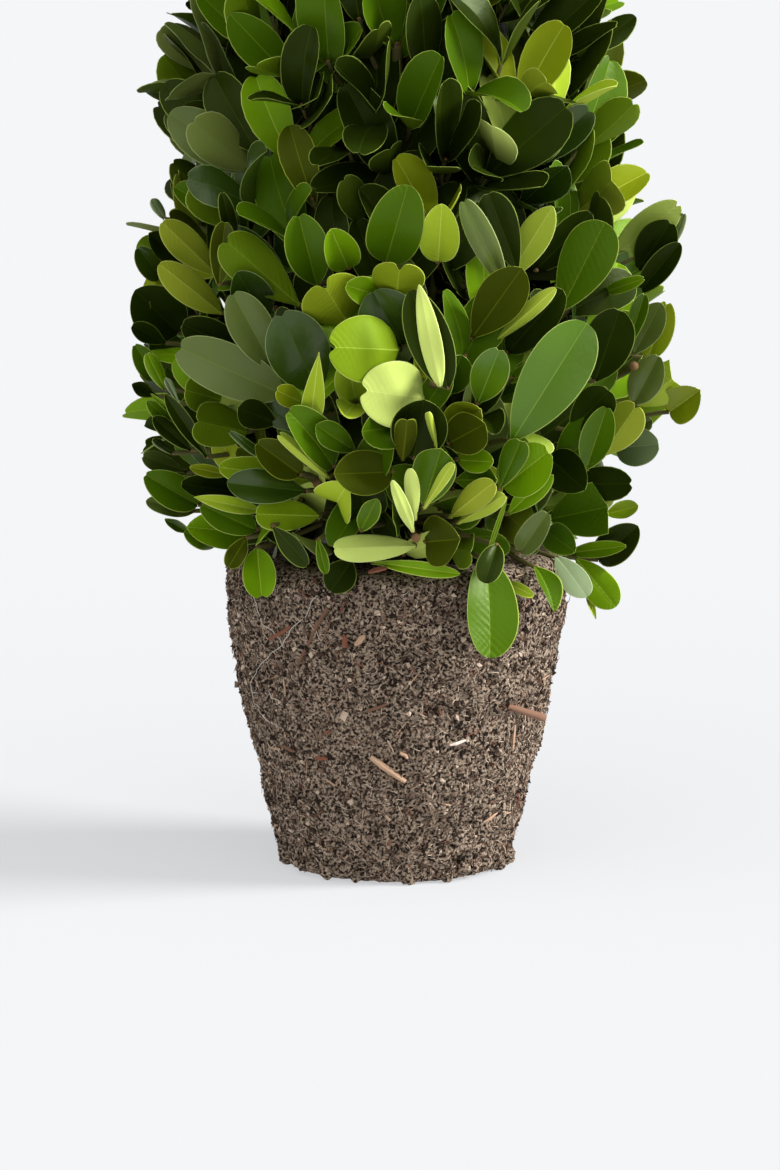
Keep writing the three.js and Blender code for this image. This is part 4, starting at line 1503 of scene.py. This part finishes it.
def make_threads():
    """Fine pale roots that wander over the side."""
    heap = Heap()
    for route in SEEN_THREADS:
        corners = np.array([point_seen_at(pixel, ball_radius, -THREAD.proud) for pixel in route])
        share = np.linspace(0, len(route) - 1, len(route) * THREAD.steps)
        path = np.stack([np.interp(share, np.arange(len(route)), axis) for axis in corners.T], axis=1)
        wander = [noise.noise_vector(Vector(point) / THREAD.curl) * THREAD.wander for point in path]
        heap.add(*tube(path + np.array(wander), np.full(len(path), THREAD.radius), 4))
    finish = fleck_finish("root_thread", shade(206, 200, 190), 0.7)
    heap.piece("root_threads", [finish], "soil", "root_ball")


def make_dead_twig():
    """The dead twig half buried along the right side."""
    foot = from_polar(ball_radius(STUB.height) - STUB.sunk, STUB.azimuth, STUB.height)
    direction = from_polar(math.cos(STUB.tilt), STUB.heading, math.sin(STUB.tilt))
    path = [foot + direction * STUB.length * share for share in np.linspace(0, 1, 12)]
    facets = 12
    radii = STUB.radius * np.linspace(0.72, 1, len(path)) * rng.uniform(0.9, 1.05, len(path))
    points, triangles = tube(path, radii, facets)
    slots = np.zeros(len(triangles), dtype=int)
    slots[-facets:] = 1
    heap = Heap()
    heap.add(points, triangles, slots)
    bark = fleck_finish("dead_twig", shade(138, 104, 84))
    finishes = [bark, fleck_finish("dead_twig_end", shade(204, 172, 126))]
    heap.piece("dead_twig", finishes, "soil", "root_ball")


def make_root_ball():
    soil = make_soil()
    find = surface_finder(soil)
    make_crumbs(find)
    make_flakes(find)
    make_fibres(find)
    make_lumps(find)
    make_chips(find)
    make_threads()
    make_dead_twig()


# Trunk


# How finely the trunk is made, how its rings crowd towards the flare, and the bark's furrows
BARK_SKIN = SimpleNamespace(segments=44, rings=150, bunching=1.3)
FURROW = SimpleNamespace(width=1.3 * MM, stretch=0.2, depth=0.35 * MM)


def make_trunk():
    rings, segments = BARK_SKIN.rings, BARK_SKIN.segments
    points = []
    for share in np.linspace(0, 1, rings):
        z = TRUNK.foot + (TRUNK.top - TRUNK.foot) * share**BARK_SKIN.bunching
        flare = max(0, 1 - (z - TRUNK.foot) / (2 * TRUNK.flare_height))
        centre = trunk_centre(z)
        for azimuth in np.arange(segments) * 2 * math.pi / segments:
            swell = 1 + TRUNK.buttress_depth * flare * math.cos(TRUNK.buttresses * azimuth)
            plain = from_polar(trunk_radius(z) * swell, azimuth, z)
            grain = Vector((plain.x, plain.y, plain.z * FURROW.stretch)) / FURROW.width
            furrow = abs(noise.noise(grain))
            radius = trunk_radius(z) * swell - FURROW.depth * (1 - furrow * 2)
            points.append(from_polar(radius, azimuth, z) + Vector((centre.x, centre.y, 0)))
    points += [trunk_centre(TRUNK.foot), trunk_centre(TRUNK.top)]
    heap = Heap()
    heap.add(np.array(points), tube_triangles(rings, segments))
    heap.piece("trunk_bark", [bark_finish()], "bark", "trunk")


# Floor, light and camera

LAMPS = [
    SimpleNamespace(name="key", azimuth=-5, height=28, width=24, strength=4.8),
    SimpleNamespace(name="front", azimuth=-84, height=52, width=80, strength=1.4),
    SimpleNamespace(name="fill", azimuth=200, height=32, width=90, strength=0.5),
]
SKY = SimpleNamespace(colour=(0.985, 0.993, 1, 1), strength=0.24)
FLOOR = SimpleNamespace(half_size=20, colour=(0.3, 0.302, 0.306, 1), glow=(0.495, 0.501, 0.515, 1))


def make_floor():
    """A pale floor that glows a little, so that shadows on it stay soft."""
    mesh = bpy.data.meshes.new("floor")
    size = FLOOR.half_size
    corners = [(-size, -size, 0), (size, -size, 0), (size, size, 0), (-size, size, 0)]
    mesh.from_pydata(corners, [], [(0, 1, 2, 3)])
    floor = bpy.data.objects.new("floor", mesh)
    bpy.context.scene.collection.objects.link(floor)
    finish = Finish("floor", FLOOR.colour, 0.9, 0.0)
    finish.surface.inputs["Emission Color"].default_value = FLOOR.glow
    finish.surface.inputs["Emission Strength"].default_value = 1
    mesh.materials.append(finish.material)


def make_light():
    world = bpy.data.worlds.new("studio")
    bpy.context.scene.world = world
    world.use_nodes = True
    sky = world.node_tree.nodes["Background"]
    sky.inputs["Color"].default_value = SKY.colour
    sky.inputs["Strength"].default_value = SKY.strength
    for lamp in LAMPS:
        light = bpy.data.lights.new(lamp.name, "SUN")
        light.energy = lamp.strength
        light.angle = math.radians(lamp.width)
        placed = bpy.data.objects.new(lamp.name, light)
        height = math.radians(lamp.height)
        towards = from_polar(math.cos(height), math.radians(lamp.azimuth), math.sin(height))
        placed.rotation_euler = towards.to_track_quat("Z", "Y").to_euler()
        bpy.context.scene.collection.objects.link(placed)


def make_camera():
    camera = bpy.data.cameras.new("camera")
    camera.sensor_fit = "HORIZONTAL"
    camera.sensor_width = CAMERA.sensor
    camera.lens = CAMERA.sensor * CAMERA.distance / CAMERA.view_width
    view = bpy.data.objects.new("camera", camera)
    view.location = CAMERA_PLACE
    view.rotation_euler = CAMERA_BACK.to_track_quat("Z", "Y").to_euler()
    bpy.context.scene.collection.objects.link(view)
    bpy.context.scene.camera = view
    bpy.context.scene.view_settings.view_transform = "Standard"


make_camera()
make_light()
make_floor()
make_trunk()
make_root_ball()
make_crown()
